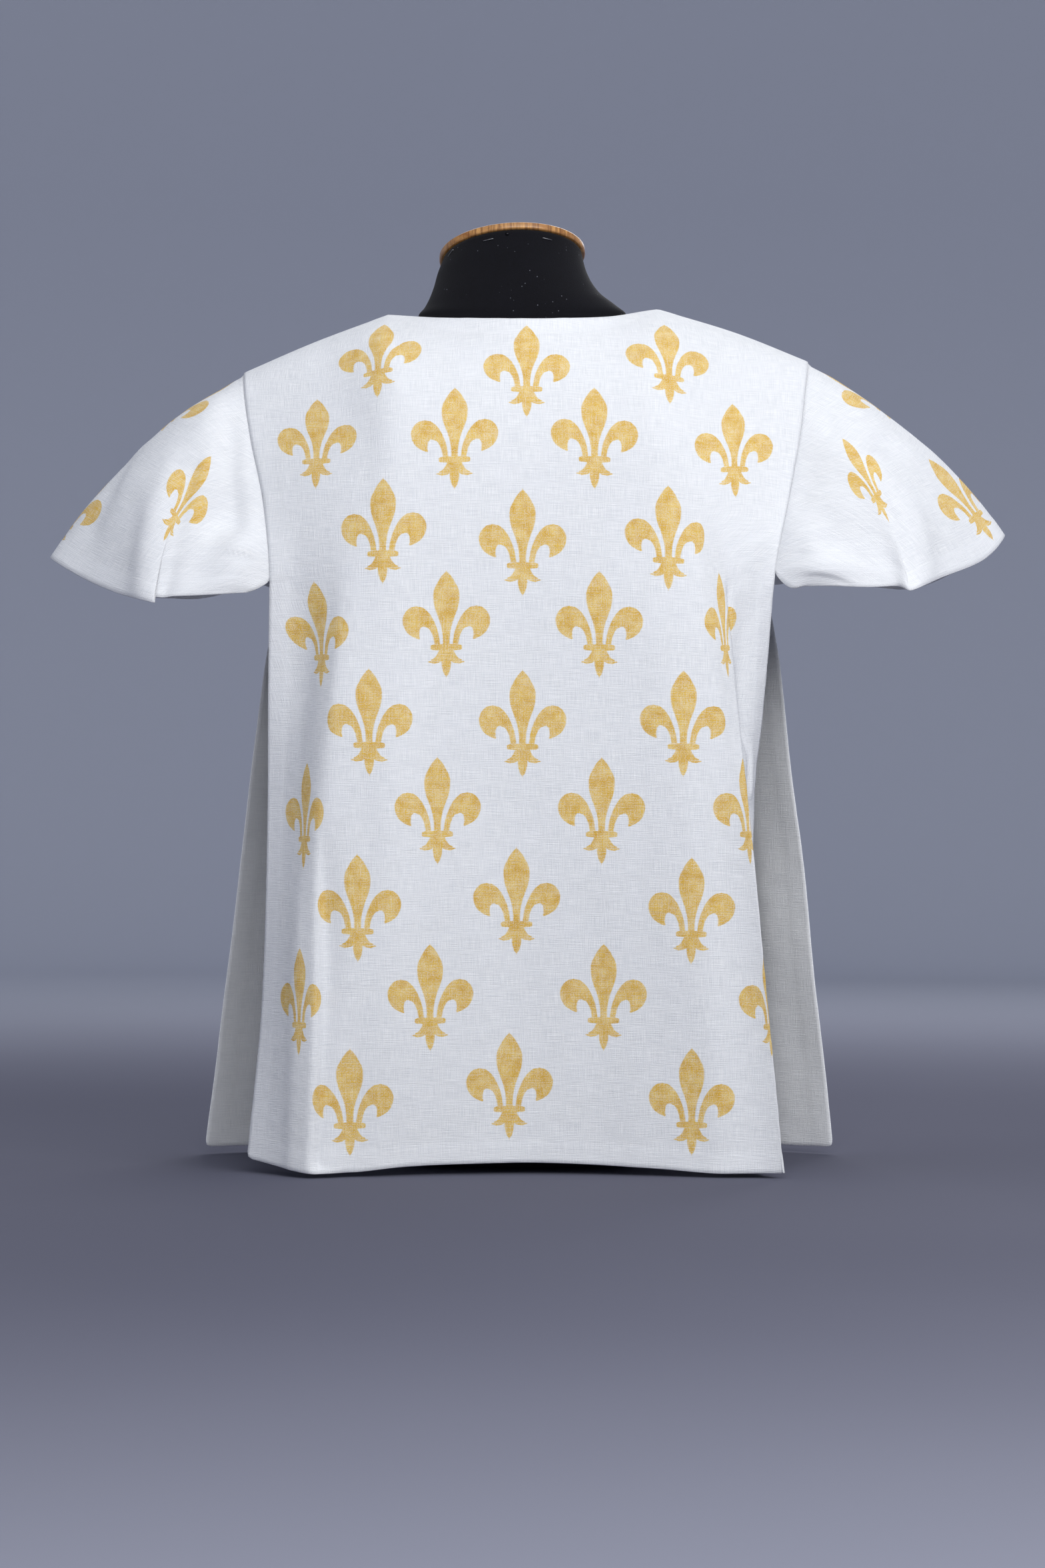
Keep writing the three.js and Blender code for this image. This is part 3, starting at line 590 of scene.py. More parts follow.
def round_corners(points):
    """Pulls the two lower corners in, as a bagged-out corner is."""
    from_hem = steps_between(points, 0)
    from_hem = from_hem[-1:] - from_hem
    side = steps_between(points, 1)
    moved = points.copy()
    for edge, sign in ((0, 1), (-1, -1)):
        near = np.clip(1 - np.abs(side - side[:, edge][:, None]) / CORNER_RADIUS, 0, 1)
        low = np.clip(1 - from_hem / CORNER_RADIUS, 0, 1)
        pull = CORNER_PULL * (near * low) ** CORNER_POWER
        inward = unit(points[:, CORNER_COLUMNS * sign + edge] - points[:, edge])[:, None, :]
        moved += inward * pull[..., None]
        moved[..., 2] += pull
    return moved


def square_shoulder_seam(cloth):
    """Turns the normals along the shoulder seam square to it, as the other panel's are."""
    start, end = NECK_COLUMNS
    row = cloth.points[0]
    along = np.gradient(row, axis=0)
    along[start] = row[start] - row[start - 1]
    along[end] = row[end + 1] - row[end]
    square = unit(np.stack([-along[:, 2], 0 * along[:, 0], along[:, 0]], axis=-1))
    outside = np.ones(len(row), bool)
    outside[start + 1:end] = False
    cloth.normals[0][outside] = square[outside]


def seam_distance(cloth):
    """Distance to the sewn edges of a panel: its shoulders and its armholes."""
    columns = np.arange(PANEL_COLUMNS + 1)
    in_neck = (columns > NECK_COLUMNS[0]) & (columns < NECK_COLUMNS[1])
    from_shoulder = cloth.from_hem[:1] - cloth.from_hem + OFF_SEAM * in_neck[None, :]
    below = np.arange(PANEL_ROWS + 1) > cloth.armhole_rows
    return np.minimum(from_shoulder, cloth.from_side() + OFF_SEAM * below[:, None])


def armhole_seam(side, back, front):
    """Points and normals of one armhole seam, from its back end over the shoulder tip to its front end."""
    points = []
    normals = []
    edge, inner = (0, 1) if side < 0 else (-1, -2)
    up_the_back = range(back.armhole_rows, -1, -1)
    down_the_front = range(1, front.armhole_rows + 1)
    for cloth, rows in ((back, up_the_back), (front, down_the_front)):
        for row in rows:
            normal = cloth.normals[row, edge]
            leave = unit(cloth.points[row, edge] - cloth.points[row, inner])
            leave = unit(leave - normal * (leave @ normal))
            points.append(cloth.points[row, edge] + SEAM_GAP * leave - SEAM_STEP * normal)
            normals.append(normal)
    at = np.concatenate([
        np.linspace(-1, 0, back.armhole_rows + 1),
        np.linspace(0, 1, front.armhole_rows + 1)[1:]])
    places = np.linspace(-1, 1, 2 * SLEEVE_HALF + 1)
    spread = [np.stack([np.interp(places, at, np.array(rows)[:, k]) for k in range(3)], axis=-1)
              for rows in (points, normals)]
    return places, spread[0], unit(spread[1])


def make_sleeve(side, table, back, front):
    """A sleeve from its armhole seam, bent through the points of its table. side is -1 or 1."""
    places, seam, seam_normals = armhole_seam(side, back, front)
    keys = [row[0] for row in table]
    middle, hem = (through(keys, [row[k] for row in table], places) for k in (1, 2))
    out = np.linspace(0, 1, SLEEVE_ROWS + 1)[:, None, None]
    points = seam * (1 - out) * (1 - 2 * out) + middle * 4 * out * (1 - out) + hem * out * (2 * out - 1)
    smooth = softened(points, SLEEVE_SMOOTHING, np.ones(SLEEVE_ROWS + 1))
    points[1:] = smooth[1:]
    cloth = Cloth(points, 1 if side < 0 else -1, SLEEVE_HALF, False)
    cloth.normals[0] = seam_normals
    cloth.seam = steps_between(points, 0)
    return cloth


# ---------------- creases and unevenness

def crease(cloth, path, width, depth, skew, facing, fade):
    """A soft ridge (depth over 0) or trough along a path of x and z.

    skew makes one flank wider. fade is the share of the path over which each end rises from the
    cloth, and an end with no fade is at full depth.
    """
    stops = np.array([cloth.flat_at(x, z, facing) for x, z in path])
    place = np.stack([cloth.side, cloth.up], axis=-1)
    lengths = np.linalg.norm(np.diff(stops, axis=0), axis=1)
    nearest = np.full(cloth.side.shape, np.inf)
    along = np.zeros(cloth.side.shape)
    flank = np.zeros(cloth.side.shape)
    for k, length in enumerate(lengths):
        run = (stops[k + 1] - stops[k]) / length
        off = place - stops[k]
        t = np.clip(off @ run, 0, length)
        gap = np.linalg.norm(off - t[..., None] * run, axis=-1)
        closer = gap < nearest
        nearest = np.where(closer, gap, nearest)
        along = np.where(closer, lengths[:k].sum() + t, along)
        turn = run[0] * off[..., 1] - run[1] * off[..., 0]
        flank = np.where(closer, np.tanh(turn / FLANKS_MEET), flank)
    share = along / lengths.sum()
    ends = smoothstep(0, max(fade[0], 1e-3), share + (fade[0] == 0))
    ends = ends * (1 - smoothstep(1 - max(fade[1], 1e-3), 1, share - (fade[1] == 0)))
    return depth * ends * np.exp(-(nearest / (width * (1 + skew * flank))) ** 2)


def add_creases(cloth, creases, facing=0):
    for path, width, depth, skew, fade in creases:
        cloth.lift = cloth.lift + crease(cloth, path, width, depth, skew, facing, fade)


def unevenness(cloth, seed, height, shortest, longest):
    """Gentle waves in all directions, as cloth has that was folded and hung again."""
    draw = np.random.default_rng(seed)
    total = np.zeros(cloth.side.shape)
    for _ in range(WAVES):
        length = draw.uniform(shortest, longest)
        angle = draw.uniform(0, math.pi)
        start = draw.uniform(0, 2 * math.pi)
        way = cloth.side * math.cos(angle) + cloth.up * math.sin(angle)
        total += np.sin(2 * math.pi * way / length + start)
    return height * total / math.sqrt(WAVES / 2)


def finish_edges(cloth, rolls_in):
    """The double layer of a turned hem, and the roll of a panel's sewn edges."""
    band = 1 - smoothstep(HEM - HEM_SOFT[0], HEM + HEM_SOFT[1], cloth.edge)
    cloth.lift = cloth.lift * smoothstep(*SEAM_QUIET, cloth.seam) + HEM_LIFT * band
    if rolls_in:
        cloth.lift -= SEAM_DEPTH * np.clip(1 - cloth.seam / SEAM_ROLL, 0, 1) ** 2
    cloth.wall = CLOTH + 2 * HEM_LIFT * band
    cloth.rim_share = smoothstep(*EDGE_STARTS, cloth.seam)


# ---------------- meshes

def mesh_object(name, vertices, faces, materials):
    mesh = bpy.data.meshes.new(name)
    mesh.from_pydata((np.asarray(vertices) * MM).tolist(), [], [list(face) for face in faces])
    mesh.update()
    mesh.shade_smooth()
    for material in materials:
        mesh.materials.append(material)
    piece = bpy.data.objects.new(name, mesh)
    bpy.context.scene.collection.objects.link(piece)
    return piece


def grid_faces(rows, columns, closed=False):
    """The faces of a grid of points. closed joins its last column to its first."""
    last = columns if closed else columns - 1
    j, i = np.meshgrid(np.arange(rows - 1), np.arange(last), indexing="ij")
    a = j * columns + i
    b = j * columns + (i + 1) % columns
    return np.stack([a, b, b + columns, a + columns], axis=-1).reshape(-1, 4)


def ring_angles(sides):
    return np.arange(sides) * 2 * math.pi / sides


def round_rings(profile, sides):
    """One level ring of points for each radius and height."""
    angles = ring_angles(sides)
    return np.array([
        np.stack([radius * np.cos(angles), radius * np.sin(angles), np.full_like(angles, height)], axis=-1)
        for radius, height in profile])


def closed_tube(name, rings, material, inside_out=False):
    """Rings of points joined into a skin, with a flat face at both ends."""
    count, sides = rings.shape[:2]
    faces = [list(face) for face in grid_faces(count, sides, closed=True)]
    faces.append(list(range(sides))[::-1])
    faces.append([(count - 1) * sides + k for k in range(sides)])
    if inside_out:
        faces = [face[::-1] for face in faces]
    return mesh_object(name, rings.reshape(-1, 3), faces, [material])


def place_round(cloth, place, lean, width, drop):
    """Flat places round one point of a bent cloth, by each point's direction and distance."""
    row, column = cloth.locate_point(place)
    normal = cloth.normals[row, column]
    cosine, sine = cosine_sine(lean)
    upright = np.array([sine, 0.0, cosine])
    upright = unit(upright - normal * (upright @ normal))
    across = np.cross(upright, normal)
    off = cloth.points - cloth.points[row, column]
    flat = np.stack([off @ across, off @ upright], axis=-1)
    flat = unit(flat) * np.linalg.norm(off, axis=-1, keepdims=True)
    flat[..., 1] += drop * flat[..., 0]
    return flat / [width, 1]


def nearest_lilies(cloth, lilies):
    """For each corner of each face, its place from the band of the face's nearest motif."""
    faces = grid_faces(*cloth.side.shape)
    best = np.full(len(faces), np.inf)
    local = np.zeros((len(faces), 4, 2))
    for lily in lilies:
        if len(lily) > 2:
            place = place_round(cloth, lily[:3], *lily[3:])
        else:
            place = np.stack([cloth.side, cloth.up], axis=-1) - cloth.flat_at(*lily)
        place = place.reshape(-1, 2)
        gap = np.linalg.norm(place[faces].mean(axis=1) - [0, LILY_MIDDLE], axis=-1)
        closer = gap < best
        best = np.where(closer, gap, best)
        local[closer] = place[faces[closer]]
    return local


def cloth_object(name, cloth, lilies, materials):
    """A closed shell: the printed outer face, the plain inner face and a rounded rim."""
    outer = cloth.points + cloth.normals * cloth.lift[..., None]
    inner = outer - cloth.normals * cloth.wall[..., None]
    rows, columns = cloth.side.shape
    count = rows * columns
    ring = np.concatenate([
        np.arange(columns - 1),
        np.arange(rows - 1) * columns + columns - 1,
        np.arange(columns - 1, 0, -1) + (rows - 1) * columns,
        np.arange(rows - 1, 0, -1) * columns])
    flat_outer = outer.reshape(-1, 3)
    flat_inner = inner.reshape(-1, 3)
    middle = (flat_outer[ring] + flat_inner[ring]) / 2
    run = unit(np.roll(middle, -1, axis=0) - np.roll(middle, 1, axis=0))
    away = unit(np.cross(cloth.normals.reshape(-1, 3)[ring], run)) * -cloth.sign
    middle = middle + away * EDGE_ROUND * cloth.rim_share.ravel()[ring][:, None]
    vertices = np.concatenate([flat_outer, flat_inner, middle])
    front = grid_faces(rows, columns)
    back = front[:, ::-1] + count
    k = np.arange(len(ring))
    after = (k + 1) % len(ring)
    rim_outer = np.stack([ring[after], ring[k], 2 * count + k, 2 * count + after], axis=-1)
    rim_inner = np.stack([2 * count + after, 2 * count + k, ring[k] + count, ring[after] + count], axis=-1)
    faces = np.concatenate([front, back, rim_outer, rim_inner])
    if cloth.sign > 0:
        faces = faces[:, ::-1]
    piece = mesh_object(name, vertices, faces, materials)
    mesh = piece.data
    slots = np.ones(len(faces), int)
    slots[:len(front)] = 0
    mesh.polygons.foreach_set("material_index", slots)

    def layer(title, values):
        uv = mesh.uv_layers.new(name=title)
        uv.uv.foreach_set("vector", values.astype(np.float32).ravel())

    flat = np.stack([cloth.side.ravel(), cloth.up.ravel()], axis=-1) * MM
    edge = np.stack([cloth.edge.ravel(), np.zeros(count)], axis=-1) / LILY_SPAN
    for title, values in (("flat", flat), ("edge", edge)):
        every = np.concatenate([values, values, values[ring]])
        layer(title, every[faces.ravel()])
    local = nearest_lilies(cloth, lilies)
    if cloth.sign > 0:
        local = local[:, ::-1]
    places = np.full((len(faces), 4, 2), NO_LILY)
    places[:len(front)] = local
    layer("lily", places.reshape(-1, 2) / LILY_SPAN)
    return piece


# ---------------- materials

class Shader:
    """A short way to write a material's nodes."""

    def __init__(self, name):
        self.material = bpy.data.materials.new(name)
        self.material.use_nodes = True
        self.tree = self.material.node_tree
        self.surface = self.tree.nodes["Principled BSDF"]

    def node(self, kind, inputs=None, **settings):
        node = self.tree.nodes.new(kind)
        for key, value in settings.items():
            setattr(node, key, value)
        for key, value in (inputs or {}).items():
            self.put(node.inputs[key], value)
        return node

    def put(self, socket, value):
        if isinstance(value, bpy.types.NodeSocket):
            self.tree.links.new(value, socket)
        else:
            socket.default_value = value

    def math(self, operation, a, b=0.0):
        return self.node("ShaderNodeMath", {0: a, 1: b}, operation=operation).outputs[0]

    def plus(self, a, b):
        return self.math("ADD", a, b)

    def less(self, a, b):
        return self.math("SUBTRACT", a, b)

    def times(self, a, b):
        return self.math("MULTIPLY", a, b)

    def noise(self, vector, scale, detail=2.0, rough=0.5):
        inputs = {"Vector": vector, "Scale": scale, "Detail": detail, "Roughness": rough}
        return self.node("ShaderNodeTexNoise", inputs).outputs["Fac"]

    def stretch(self, vector, scale, turn=(0, 0, 0)):
        inputs = {"Vector": vector, "Scale": scale, "Rotation": turn}
        return self.node("ShaderNodeMapping", inputs).outputs[0]

    def remap(self, value, low, high, new_low=0.0, new_high=1.0, smooth=False):
        kind = "SMOOTHSTEP" if smooth else "LINEAR"
        inputs = {"Value": value, "From Min": low, "From Max": high, "To Min": new_low, "To Max": new_high}
        return self.node("ShaderNodeMapRange", inputs, interpolation_type=kind).outputs[0]

    def mix(self, share, a, b):
        node = self.node("ShaderNodeMix", data_type="RGBA")
        self.put(node.inputs["Factor"], share)
        self.put(node.inputs[6], a)
        self.put(node.inputs[7], b)
        return node.outputs[2]

    def object_place(self):
        return self.node("ShaderNodeTexCoord").outputs["Object"]

    def bump(self, height, strength, distance):
        inputs = {"Height": height, "Strength": strength, "Distance": distance}
        return self.node("ShaderNodeBump", inputs).outputs[0]

    def finish(self, inputs):
        """Sets inputs of the surface and returns the material."""
        for name, value in inputs.items():
            self.put(self.surface.inputs[name], value)
        return self.material

    def curve(self, value, pairs, low, span, top):
        """A smooth curve through pairs of height and width, for widths up to top."""
        node = self.node("ShaderNodeFloatCurve", {"Value": value})
        curve = node.mapping.curves[0]
        node.mapping.use_clip = False
        held = [(low, pairs[0][1])] + pairs + [(low + span, pairs[-1][1])]
        places = [((height - low) / span, width / top) for height, width in held]
        curve.points[0].location = places[0]
        curve.points[1].location = places[-1]
        for place in places[1:-1]:
            curve.points.new(*place)
        for point in curve.points:
            point.handle_type = "AUTO_CLAMPED"
        node.mapping.update()
        return self.times(node.outputs[0], top)

    def uv(self, layer):
        return self.node("ShaderNodeUVMap", uv_map=layer).outputs[0]


def colour(red, green, blue):
    """A colour given as it looks on a screen, 0 to 255."""
    def linear(value):
        share = value / 255
        return share / 12.92 if share <= 0.04045 else ((share + 0.055) / 1.055) ** 2.4
    return (linear(red), linear(green), linear(blue), 1.0)


def lily_mask(shader):
    """1 inside the printed motif, 0 outside."""
    place = shader.node("ShaderNodeSeparateXYZ", {0: shader.uv("lily")})
    wander = shader.noise(shader.uv("flat"), 900.0, 1.0)
    stray = shader.times(shader.less(wander, 0.5), LILY_STRAY)
    across = shader.times(shader.math("ABSOLUTE", place.outputs[0]), LILY_SPAN)
    across = shader.plus(across, stray)
    height = shader.times(place.outputs[1], LILY_SPAN)
    level = shader.remap(height, LILY_LOW, LILY_LOW + LILY_SPAN)

    def over(a, b):
        return shader.remap(shader.less(a, b), -LILY_SOFT, LILY_SOFT)

    def chart(pairs):
        return shader.curve(level, pairs, LILY_LOW, LILY_SPAN, LILY_WIDEST)

    def between(start, end):
        return shader.times(over(across, chart(start)), over(chart(end), across))

    def heights(pairs):
        return shader.times(over(height, pairs[0][0]), over(pairs[-1][0], height))

    core = shader.times(over(chart(LILY_CORE), across), heights(LILY_CORE))
    petal = shader.times(between(LILY_PETAL_FROM, LILY_PETAL_TO), heights(LILY_PETAL_TO))
    hollow = shader.times(between(LILY_HOLLOW_FROM, LILY_HOLLOW_TO), heights(LILY_HOLLOW_TO))
    petal = shader.times(petal, shader.less(1.0, hollow))
    wing = shader.times(between(LILY_WING_FROM, LILY_WING_TO), heights(LILY_WING_TO))
    return shader.math("MAXIMUM", shader.math("MAXIMUM", core, petal), wing)


def linen_material(name, printed):
    """Plain-woven linen with slubs. The printed one has gold motifs, worn thin on the threads. The plain one
    is painted paler: painted light, for lamp light shining through the thin linen.
    """
    shader = Shader(name)
    flat = shader.uv("flat")
    warp = shader.noise(shader.stretch(flat, (1700, 62, 1)), 1.0, 1.0)
    weft = shader.noise(shader.stretch(flat, (56, 1500, 1)), 1.0, 1.0)
    threads = shader.plus(warp, weft)
    grain = shader.noise(flat, 2200.0, 1.0)
    cloudy = shader.noise(flat, 26.0, 2.0)
    tone = shader.plus(shader.times(shader.remap(threads, 0.72, 1.28), 0.75), shader.times(grain, 0.25))
    # The plain one, on the inner faces and rims, gets paler colours: painted light, for lamp light shining
    # through the thin linen.
    low = colour(220, 223, 227) if printed else colour(233, 235, 238)
    high = colour(247, 248, 249) if printed else colour(253, 254, 255)
    cloth = shader.mix(tone, low, high)
    cloth = shader.mix(shader.remap(cloudy, 0.35, 0.7, 0.0, 0.35), cloth, colour(236, 238, 242))
    edge = shader.node("ShaderNodeSeparateXYZ", {0: shader.uv("edge")})
    distance = shader.times(edge.outputs[0], LILY_SPAN)
    in_hem = shader.remap(distance, HEM - HEM_TINT[0], HEM + HEM_TINT[1], 1.0, 0.0, smooth=True)
    cloth = shader.mix(shader.times(in_hem, 0.2), cloth, colour(248, 250, 253))
    if printed:
        mask = lily_mask(shader)
        patchy = shader.noise(flat, 90.0, 2.0, 0.6)
        fine = shader.noise(flat, 950.0, 1.0)
        wear = shader.plus(shader.times(threads, 0.45), fine)
        wear = shader.plus(wear, shader.times(patchy, 0.3))
        cover = shader.remap(wear, 0.95, 1.3, 1.0, 0.58)
        ink = shader.mix(shader.remap(patchy, 0.3, 0.7), colour(218, 172, 58), colour(236, 199, 88))
        cloth = shader.mix(shader.times(mask, cover), cloth, ink)
    relief = shader.plus(threads, shader.times(grain, 0.6))
    return shader.finish({
        "Base Color": cloth,
        "Roughness": shader.remap(tone, 0.0, 1.0, 0.95, 0.82),
        "Sheen Weight": 0.12,
        "Sheen Roughness": 0.5,
        "Specular IOR Level": 0.25,
        "Normal": shader.bump(relief, 0.55, 0.0008),
    })


def jersey_material():
    """Matte black jersey with specks of lint."""
    shader = Shader("form_jersey")
    place = shader.object_place()
    knit = shader.noise(shader.stretch(place, (1400, 1400, 600)), 1.0, 1.0)
    cloudy = shader.noise(place, 30.0, 3.0)
    base = shader.mix(knit, colour(4, 4, 8), colour(13, 13, 20))
    base = shader.mix(shader.remap(cloudy, 0.4, 0.7, 0.0, 0.5), base, colour(13, 13, 20))
    speck = shader.node("ShaderNodeTexVoronoi", {"Vector": place, "Scale": 260.0}).outputs["Distance"]
    some = shader.noise(place, 75.0, 1.0)
    lint = shader.times(shader.remap(speck, 0.07, 0.13, 1.0, 0.0), shader.remap(some, 0.56, 0.6))
    base = shader.mix(shader.times(lint, 0.6), base, colour(150, 154, 165))
    return shader.finish({
        "Base Color": base,
        "Roughness": 0.94,
        "Sheen Weight": 0.05,
        "Sheen Roughness": 0.6,
        "Specular IOR Level": 0.2,
        "Normal": shader.bump(knit, 0.4, 0.0005),
    })


def oak_material():
    """Varnished light oak: long grain, pores and darker growth lines."""
    shader = Shader("cap_wood")
    place = shader.object_place()
    grain = shader.noise(shader.stretch(place, (9, 160, 160), (0, 0, math.radians(4))), 1.0, 4.0, 0.6)
    bend = shader.noise(place, 14.0, 2.0)
    pores = shader.noise(shader.stretch(place, (60, 1500, 1500)), 1.0, 1.0)
    lines = shader.noise(shader.stretch(place, (640, 30, 60), (0, 0.6, 0)), 1.0, 2.0)
    wood = shader.mix(shader.remap(grain, 0.3, 0.7), colour(146, 92, 40), colour(206, 152, 84))
    wood = shader.mix(shader.remap(bend, 0.4, 0.65, 0.0, 0.4), wood, colour(222, 178, 118))
    wood = shader.mix(shader.remap(lines, 0.44, 0.66, 0.0, 0.75), wood, colour(112, 66, 26))
    wood = shader.mix(shader.remap(pores, 0.62, 0.72, 0.0, 0.5), wood, colour(104, 64, 30))
    return shader.finish({
        "Base Color": wood,
        "Roughness": shader.remap(grain, 0.2, 0.8, 0.34, 0.46),
        "Coat Weight": 0.5,
        "Coat Roughness": 0.22,
        "Normal": shader.bump(pores, 0.25, 0.0004),
    })


def metal_material(name, dark, light):
    """Dull metal, a little uneven."""
    shader = Shader(name)
    worn = shader.noise(shader.object_place(), 900.0, 2.0)
    return shader.finish({
        "Base Color": shader.mix(worn, dark, light),
        "Roughness": shader.remap(worn, 0.3, 0.7, 0.25, 0.45),
        "Metallic": 1.0,
    })


def stage_material():
    """The plain ground, darker in the middle and lighter away from it: painted shade where the lamps fall
    brightest and painted light where they fall dim, with a trace of unevenness.
    """
    shader = Shader("stage_paper")
    place = shader.object_place()
    far = shader.node("ShaderNodeVectorMath", {0: place}, operation="LENGTH").outputs["Value"]
    cloudy = shader.times(shader.noise(place, 1.2, 2.0), 0.06)
    # Painted shade on the floor near the middle and painted light on the far wall, evening out the lamps'
    # falloff.
    painted_light_and_unevenness = shader.plus(shader.remap(far, 0.7, 4.2, smooth=True), cloudy)
    return shader.finish({
        "Base Color": shader.mix(painted_light_and_unevenness, colour(91, 92, 107), colour(176, 180, 194)),
        "Roughness": 0.95,
        "Specular IOR Level": 0.1,
    })


# ---------------- the dress form

def trunk_ring(z, left, right, back, front):
    angles = ring_angles(RING_SIDES)
    sine = np.sin(angles)
    cosine = np.cos(angles)
    x = np.where(cosine < 0, left, right) * np.sign(cosine) * np.abs(cosine) ** TRUNK_SQUARENESS
    y = (front - back) / 2 * np.sign(sine) * np.abs(sine) ** TRUNK_SQUARENESS + (back + front) / 2
    return np.stack([x, y, np.full_like(x, z)], axis=-1)


def cloth_half(side, shoulder, z):
    """How far out the shoulder line of the cloth lies where the form under it has the height z."""
    line = shoulder[shoulder[:, 0] * side > 0]
    slope = math.radians(SHOULDER_SLOPE)
    above = line[:, 2] - (FORM_CLOTH + FORM_SEAT) / math.cos(slope) - z
    nearest = np.argmin(np.abs(above))
    return abs(line[nearest, 0]) + above[nearest] / math.tan(slope)


def shoulder_ring(row, shoulder):
    """The neck's root with the ridge of the two shoulders, kept inside the cloth over it."""
    z, left, right, deep, root, back, front = row
    half_left = min(left, cloth_half(-1, shoulder, z))
    half_right = min(right, cloth_half(1, shoulder, z))
    angles = ring_angles(RING_SIDES)
    sine = np.sin(angles)
    cosine = np.cos(angles)
    ridge = 1 / np.hypot(cosine / np.where(cosine < 0, half_left, half_right), sine / deep)
    neck_root = 1 / np.hypot(cosine / root, sine / np.where(sine < 0, -back, front))
    out = np.maximum(ridge, neck_root)
    return np.stack([out * cosine, out * sine, np.full_like(out, z)], axis=-1)


def leaning_ring(half_width, half_depth, lean, centre):
    angles = ring_angles(RING_SIDES)
    flat = np.stack([half_width * np.cos(angles), half_depth * np.sin(angles), 0 * angles], axis=-1)
    return flat @ neck_lean(lean).T + centre


def form_rings(shoulder):
    rings = [trunk_ring(*row) for row in TRUNK]
    rings += [shoulder_ring(row, shoulder) for row in SHOULDERS]
    for z, x, half, back, front, lean in NECK:
        rings.append(leaning_ring(half, (front - back) / 2, lean, np.array([x, (back + front) / 2, z])))
    seat = CAP_CENTRE - neck_lean(1)[:, 2] * CAP_SEAT
    rings.append(leaning_ring(NECK_TOP_RADIUS, NECK_TOP_RADIUS, 1, seat))
    return np.array(rings)


def make_form(shoulder, material):
    """The form and the rings of its skin. Its two flat ends keep a crisp edge."""
    rings = form_rings(shoulder)
    keys = np.arange(len(rings))
    at = np.linspace(0, keys[-1], keys[-1] * RING_STEPS + 1)
    fine = through(keys, rings.reshape(len(rings), -1), at).reshape(len(at), RING_SIDES, 3)
    piece = closed_tube("dress_form", fine, material)
    for polygon in piece.data.polygons:
        if len(polygon.vertices) == RING_SIDES:
            polygon.use_smooth = False
    return piece, fine


def make_cap(material):
    """A round plate with softened edges, lying on the leaning neck."""
    profile = []
    for height, start in ((CAP_ROUNDING, -90), (CAP_THICKNESS - CAP_ROUNDING, 0)):
        for step in range(CAP_STEPS + 1):
            cosine, sine = cosine_sine(start + 90 * step / CAP_STEPS)
            profile.append((CAP_RADIUS - CAP_ROUNDING + CAP_ROUNDING * cosine, height + CAP_ROUNDING * sine))
    rings = round_rings(profile, RING_SIDES)
    points = np.concatenate([rings.reshape(-1, 3), [[0, 0, 0], [0, 0, CAP_THICKNESS]]])
    faces = [list(face) for face in grid_faces(len(rings), RING_SIDES, closed=True)]
    last = (len(rings) - 1) * RING_SIDES
    low = len(points) - 2
    high = len(points) - 1
    for k in range(RING_SIDES):
        after = (k + 1) % RING_SIDES
        faces.append([low, after, k])
        faces.append([high, last + k, last + after])
    return mesh_object("neck_cap", points @ neck_lean(1).T + CAP_CENTRE, faces, [material])


def wire(name, path, radius, material):
    """A round wire along a path of points, closed at both ends."""
    path = np.array(path, float)
    run = unit(np.gradient(path, axis=0))
    aside = unit(np.cross(run, [0.1, 0.2, 1.0]))
    other = np.cross(run, aside)
    angles = ring_angles(WIRE_SIDES)
    rings = [p + radius * (np.outer(np.cos(angles), a) + np.outer(np.sin(angles), b))
             for p, a, b in zip(path, aside, other)]
    return closed_tube(name, np.array(rings), material)


def neck_spot(rings, turn, drop):
    """A point on the neck under the cap, with the ways outward and sideways there."""
    cosine, sine = cosine_sine(turn)
    column = round((turn % 360) / 360 * RING_SIDES) % RING_SIDES
    top = rings[-1, column]
    spot = top + (rings[-1 - RING_STEPS, column] - top) * drop
    return spot, np.array([cosine, sine, 0.0]), np.array([-sine, cosine, 0.0])


def make_staples(rings, material):
    """Three staples that hold the jersey just under the cap."""
    pieces = []
    for number, (turn, tilt) in enumerate(STAPLES):
        spot, out, aside = neck_spot(rings, turn, STAPLE_DROP)
        cosine, sine = cosine_sine(tilt)
        way = aside * cosine + np.array([0, 0, sine])
        path = [spot + way * end * (STAPLE_WIDTH / 2 - inwards) + out * height
                for end, inwards, height in STAPLE_BENDS]
        pieces.append(wire(f"staple_{number + 1}", path, STAPLE_WIRE / 2, material))
    return pieces


def make_tack(rings, material):
    """The small domed head of a tack."""
    spot, out, aside = neck_spot(rings, TACK_TURN, TACK_DROP)
    angles = ring_angles(TACK_SIDES)
    flat = np.outer(np.cos(angles), aside) + np.outer(np.sin(angles), [0, 0, 1.0])
    head = [spot + out * height + flat * share * TACK_RADIUS for share, height in TACK_HEAD]
    return closed_tube("tack", np.array(head), material, inside_out=True)


# ---------------- the stage

def make_stage():
    """A round floor that curves up into a wall all round, beyond every camera."""
    profile = [(radius, 0.0) for radius in STAGE_FLOOR]
    for step in range(COVE_STEPS + 1):
        cosine, sine = cosine_sine(90 * step / COVE_STEPS)
        profile.append((STAGE_RADIUS - STAGE_COVE * (1 - sine), STAGE_COVE * (1 - cosine)))
    profile.append((STAGE_RADIUS, STAGE_HEIGHT))
    rings = round_rings(profile, STAGE_SIDES) / MM
    faces = grid_faces(len(rings), STAGE_SIDES, closed=True)
    piece = mesh_object("stage_ground", rings.reshape(-1, 3), faces, [stage_material()])


def area_light(name, place, aim, size, power, tint):
    """A soft light that the camera doesn't see, turned from its place towards a point."""
    light = bpy.data.lights.new(name, "AREA")
    light.shape = "RECTANGLE"
    light.size, light.size_y = size
    light.energy = power
    light.color = tint
    lamp = bpy.data.objects.new(name, light)
    bpy.context.scene.collection.objects.link(lamp)
    run = unit(np.array(aim, float) - np.array(place, float))
    flat = math.hypot(run[0], run[1])
    lamp.visible_camera = False
    lamp.location = place
    lamp.rotation_euler = (math.atan2(flat, -run[2]), 0, math.atan2(-run[0], run[1]))


